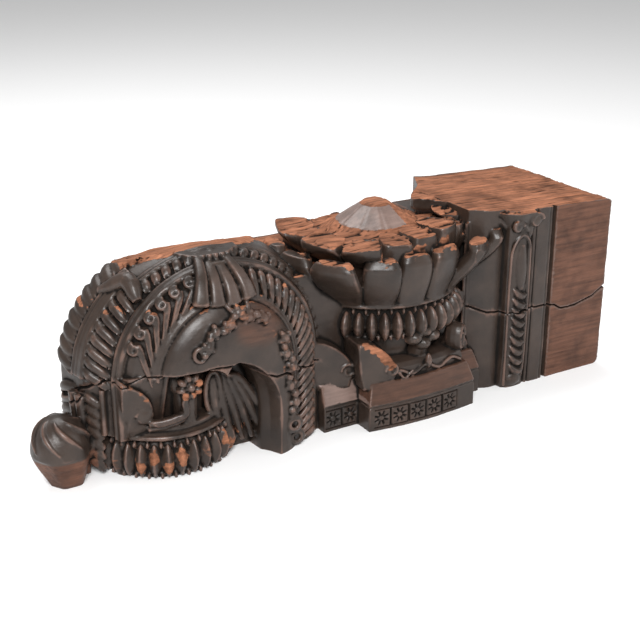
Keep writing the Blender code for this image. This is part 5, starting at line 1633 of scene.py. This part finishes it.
    def tinted(self, tree: bpy.types.NodeTree, value: bpy.types.NodeSocket, tone: Tone,
               amount: float) -> bpy.types.NodeSocket:
        """A tone that varies with a value between a darker and a lighter shade of itself."""
        ramp = tree.nodes.new("ShaderNodeValToRGB")
        dark = tuple(c * (1 - amount) for c in tone.colour)
        light = tuple(min(1.0, c * (1 + amount)) for c in tone.colour)
        ramp.color_ramp.elements[0].position = 0.30
        ramp.color_ramp.elements[1].position = 0.70
        ramp.color_ramp.elements[0].color = (*dark, 1.0)
        ramp.color_ramp.elements[1].color = (*light, 1.0)
        tree.links.new(value, ramp.inputs["Fac"])
        return ramp.outputs["Color"]

    def blend(self, tree: bpy.types.NodeTree, mask: bpy.types.NodeSocket, under: bpy.types.NodeSocket,
              over: bpy.types.NodeSocket) -> bpy.types.NodeSocket:
        """One colour over another by a mask."""
        mix = tree.nodes.new("ShaderNodeMix")
        mix.data_type = "RGBA"
        tree.links.new(mask, mix.inputs[0])
        tree.links.new(under, mix.inputs[6])
        tree.links.new(over, mix.inputs[7])
        return mix.outputs[2]

    def blend_value(self, tree: bpy.types.NodeTree, mask: bpy.types.NodeSocket,
                    under: bpy.types.NodeSocket | float, over: float) -> bpy.types.NodeSocket:
        """One number over another by a mask."""
        mix = tree.nodes.new("ShaderNodeMix")
        tree.links.new(mask, mix.inputs[0])
        if isinstance(under, float):
            mix.inputs[2].default_value = under
        else:
            tree.links.new(under, mix.inputs[2])
        mix.inputs[3].default_value = over
        return mix.outputs[0]

    def bumped(self, tree: bpy.types.NodeTree, grain: bpy.types.Node,
               masks: dict[Mask, bpy.types.NodeSocket]) -> bpy.types.NodeSocket:
        """Fine relief: fibres, stronger where the wood is raw or bare, over a faint tooled surface."""
        strength = self.maths(tree, "MAXIMUM", masks[Mask.RAW], masks[Mask.BARE])
        height = self.maths(tree, "MULTIPLY_ADD", strength, 0.85, 0.22)
        fibre = self.maths(tree, "MULTIPLY", height, grain.outputs["Fibre"])
        both = self.maths(tree, "MULTIPLY_ADD", grain.outputs["Pores"], 0.22, fibre)
        bump = tree.nodes.new("ShaderNodeBump")
        bump.inputs["Strength"].default_value = 0.55
        bump.inputs["Distance"].default_value = 0.0009
        tree.links.new(both, bump.inputs["Height"])
        return bump.outputs["Normal"]


@dataclass(frozen=True)
class Studio:
    """A plain pale floor, soft lights, and the camera at the photograph's angle."""

    camera_place: tuple[float, float, float] = (-0.6436, -1.0667, 0.6044)
    heading: float = -31.0
    pitch: float = -22.0
    lens: float = 67.5
    floor_colour: tuple[float, float, float] = (0.90, 0.90, 0.90)

    def camera(self) -> None:
        """Set the camera where the photograph was taken from."""
        lens = bpy.data.cameras.new("camera")
        lens.lens = self.lens
        lens.sensor_width = 36.0
        made = bpy.data.objects.new("camera", lens)
        made.location = self.camera_place
        made.rotation_euler = (radians(90 + self.pitch), 0, radians(self.heading))
        bpy.context.scene.collection.objects.link(made)
        bpy.context.scene.camera = made

    def floor(self) -> Solid:
        """A wide flat floor."""
        deselect()
        bpy.ops.mesh.primitive_plane_add(size=9.0, location=(0, 0, 0))
        made = bpy.context.object
        made.name = "studio_floor"
        material = bpy.data.materials.new("studio_floor")
        material.use_nodes = True
        shader = material.node_tree.nodes["Principled BSDF"]
        shader.inputs["Base Color"].default_value = (*self.floor_colour, 1.0)
        shader.inputs["Roughness"].default_value = 0.7
        made.data.materials.append(material)
        return made

    def lights(self) -> None:
        """A soft key from the front left and above, a weak fill from the right and a top light."""
        for name, place, aim, size, power in (
            ("key", (-1.0, -1.8, 1.7), (-0.1, 0, 0.1), 0.8, 78.0),
            ("fill", (1.9, -1.6, 1.0), (0, 0, 0.1), 1.6, 14.0),
            ("top", (-0.1, 0.9, 2.2), (0, 0, 0.1), 1.4, 40.0),
        ):
            lamp = bpy.data.lights.new(name, "AREA")
            lamp.size = size
            lamp.energy = power
            made = bpy.data.objects.new(name, lamp)
            made.location = place
            way = np.array(aim) - np.array(place)
            made.rotation_euler = (np.arctan2(np.hypot(way[0], way[1]), -way[2]), 0,
                                   np.arctan2(-way[0], way[1]))
            bpy.context.scene.collection.objects.link(made)

    def air(self) -> None:
        """An even pale world, and colours shown as they are."""
        world = bpy.data.worlds.new("studio")
        world.use_nodes = True
        background = world.node_tree.nodes["Background"]
        background.inputs["Color"].default_value = (1.0, 1.0, 1.0, 1.0)
        background.inputs["Strength"].default_value = 0.48
        bpy.context.scene.world = world
        bpy.context.scene.view_settings.view_transform = "Standard"


def main() -> None:
    """Build the bracket's looks in order, then the studio."""
    logging.basicConfig(level=logging.INFO, format="%(message)s")
    voxel = 0.00105
    arch, foot, lotus, block = Arch(), Foot(), Lotus(), Block()
    solids: list[Solid] = []
    for maker in (block, lotus, arch, foot):
        carved = maker.carve()
        LOG.info("%s: %d carved forms", type(maker).__name__, len(carved))
        solids += carved
    whole = joined("carved_timber", solids)
    modifier_done(whole, "REMESH", mode="VOXEL", voxel_size=voxel, adaptivity=0.0)
    LOG.info("skin: %d faces", len(whole.data.polygons))
    sliced(whole, (0, 0, 0), (0, 0, -1))
    sliced(whole, (0, BACK_DEPTH, 0), (0, 1, 0))
    Surface(whole, voxel).work(lotus, block, arch, foot)
    spots = points_of(whole.data)
    spots[:, 1] += SHIFT_Y
    whole.data.vertices.foreach_set("co", spots.ravel())
    whole.data.update()
    wood = Timber().material()
    whole.data.materials.clear()
    whole.data.materials.append(wood)
    for region in (Region("arch_end", None, -0.018, 196000),
                   Region("lotus_and_plinth", -0.018, 0.157, 196000),
                   Region("square_block", 0.157, None, 120000)):
        piece = region.part(whole)
        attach(piece, "root")
        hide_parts(NODE)
    bpy.data.objects.remove(whole)
    studio = Studio()
    studio.camera()
    studio.floor()
    studio.lights()
    studio.air()


if __name__ == "__main__":
    main()
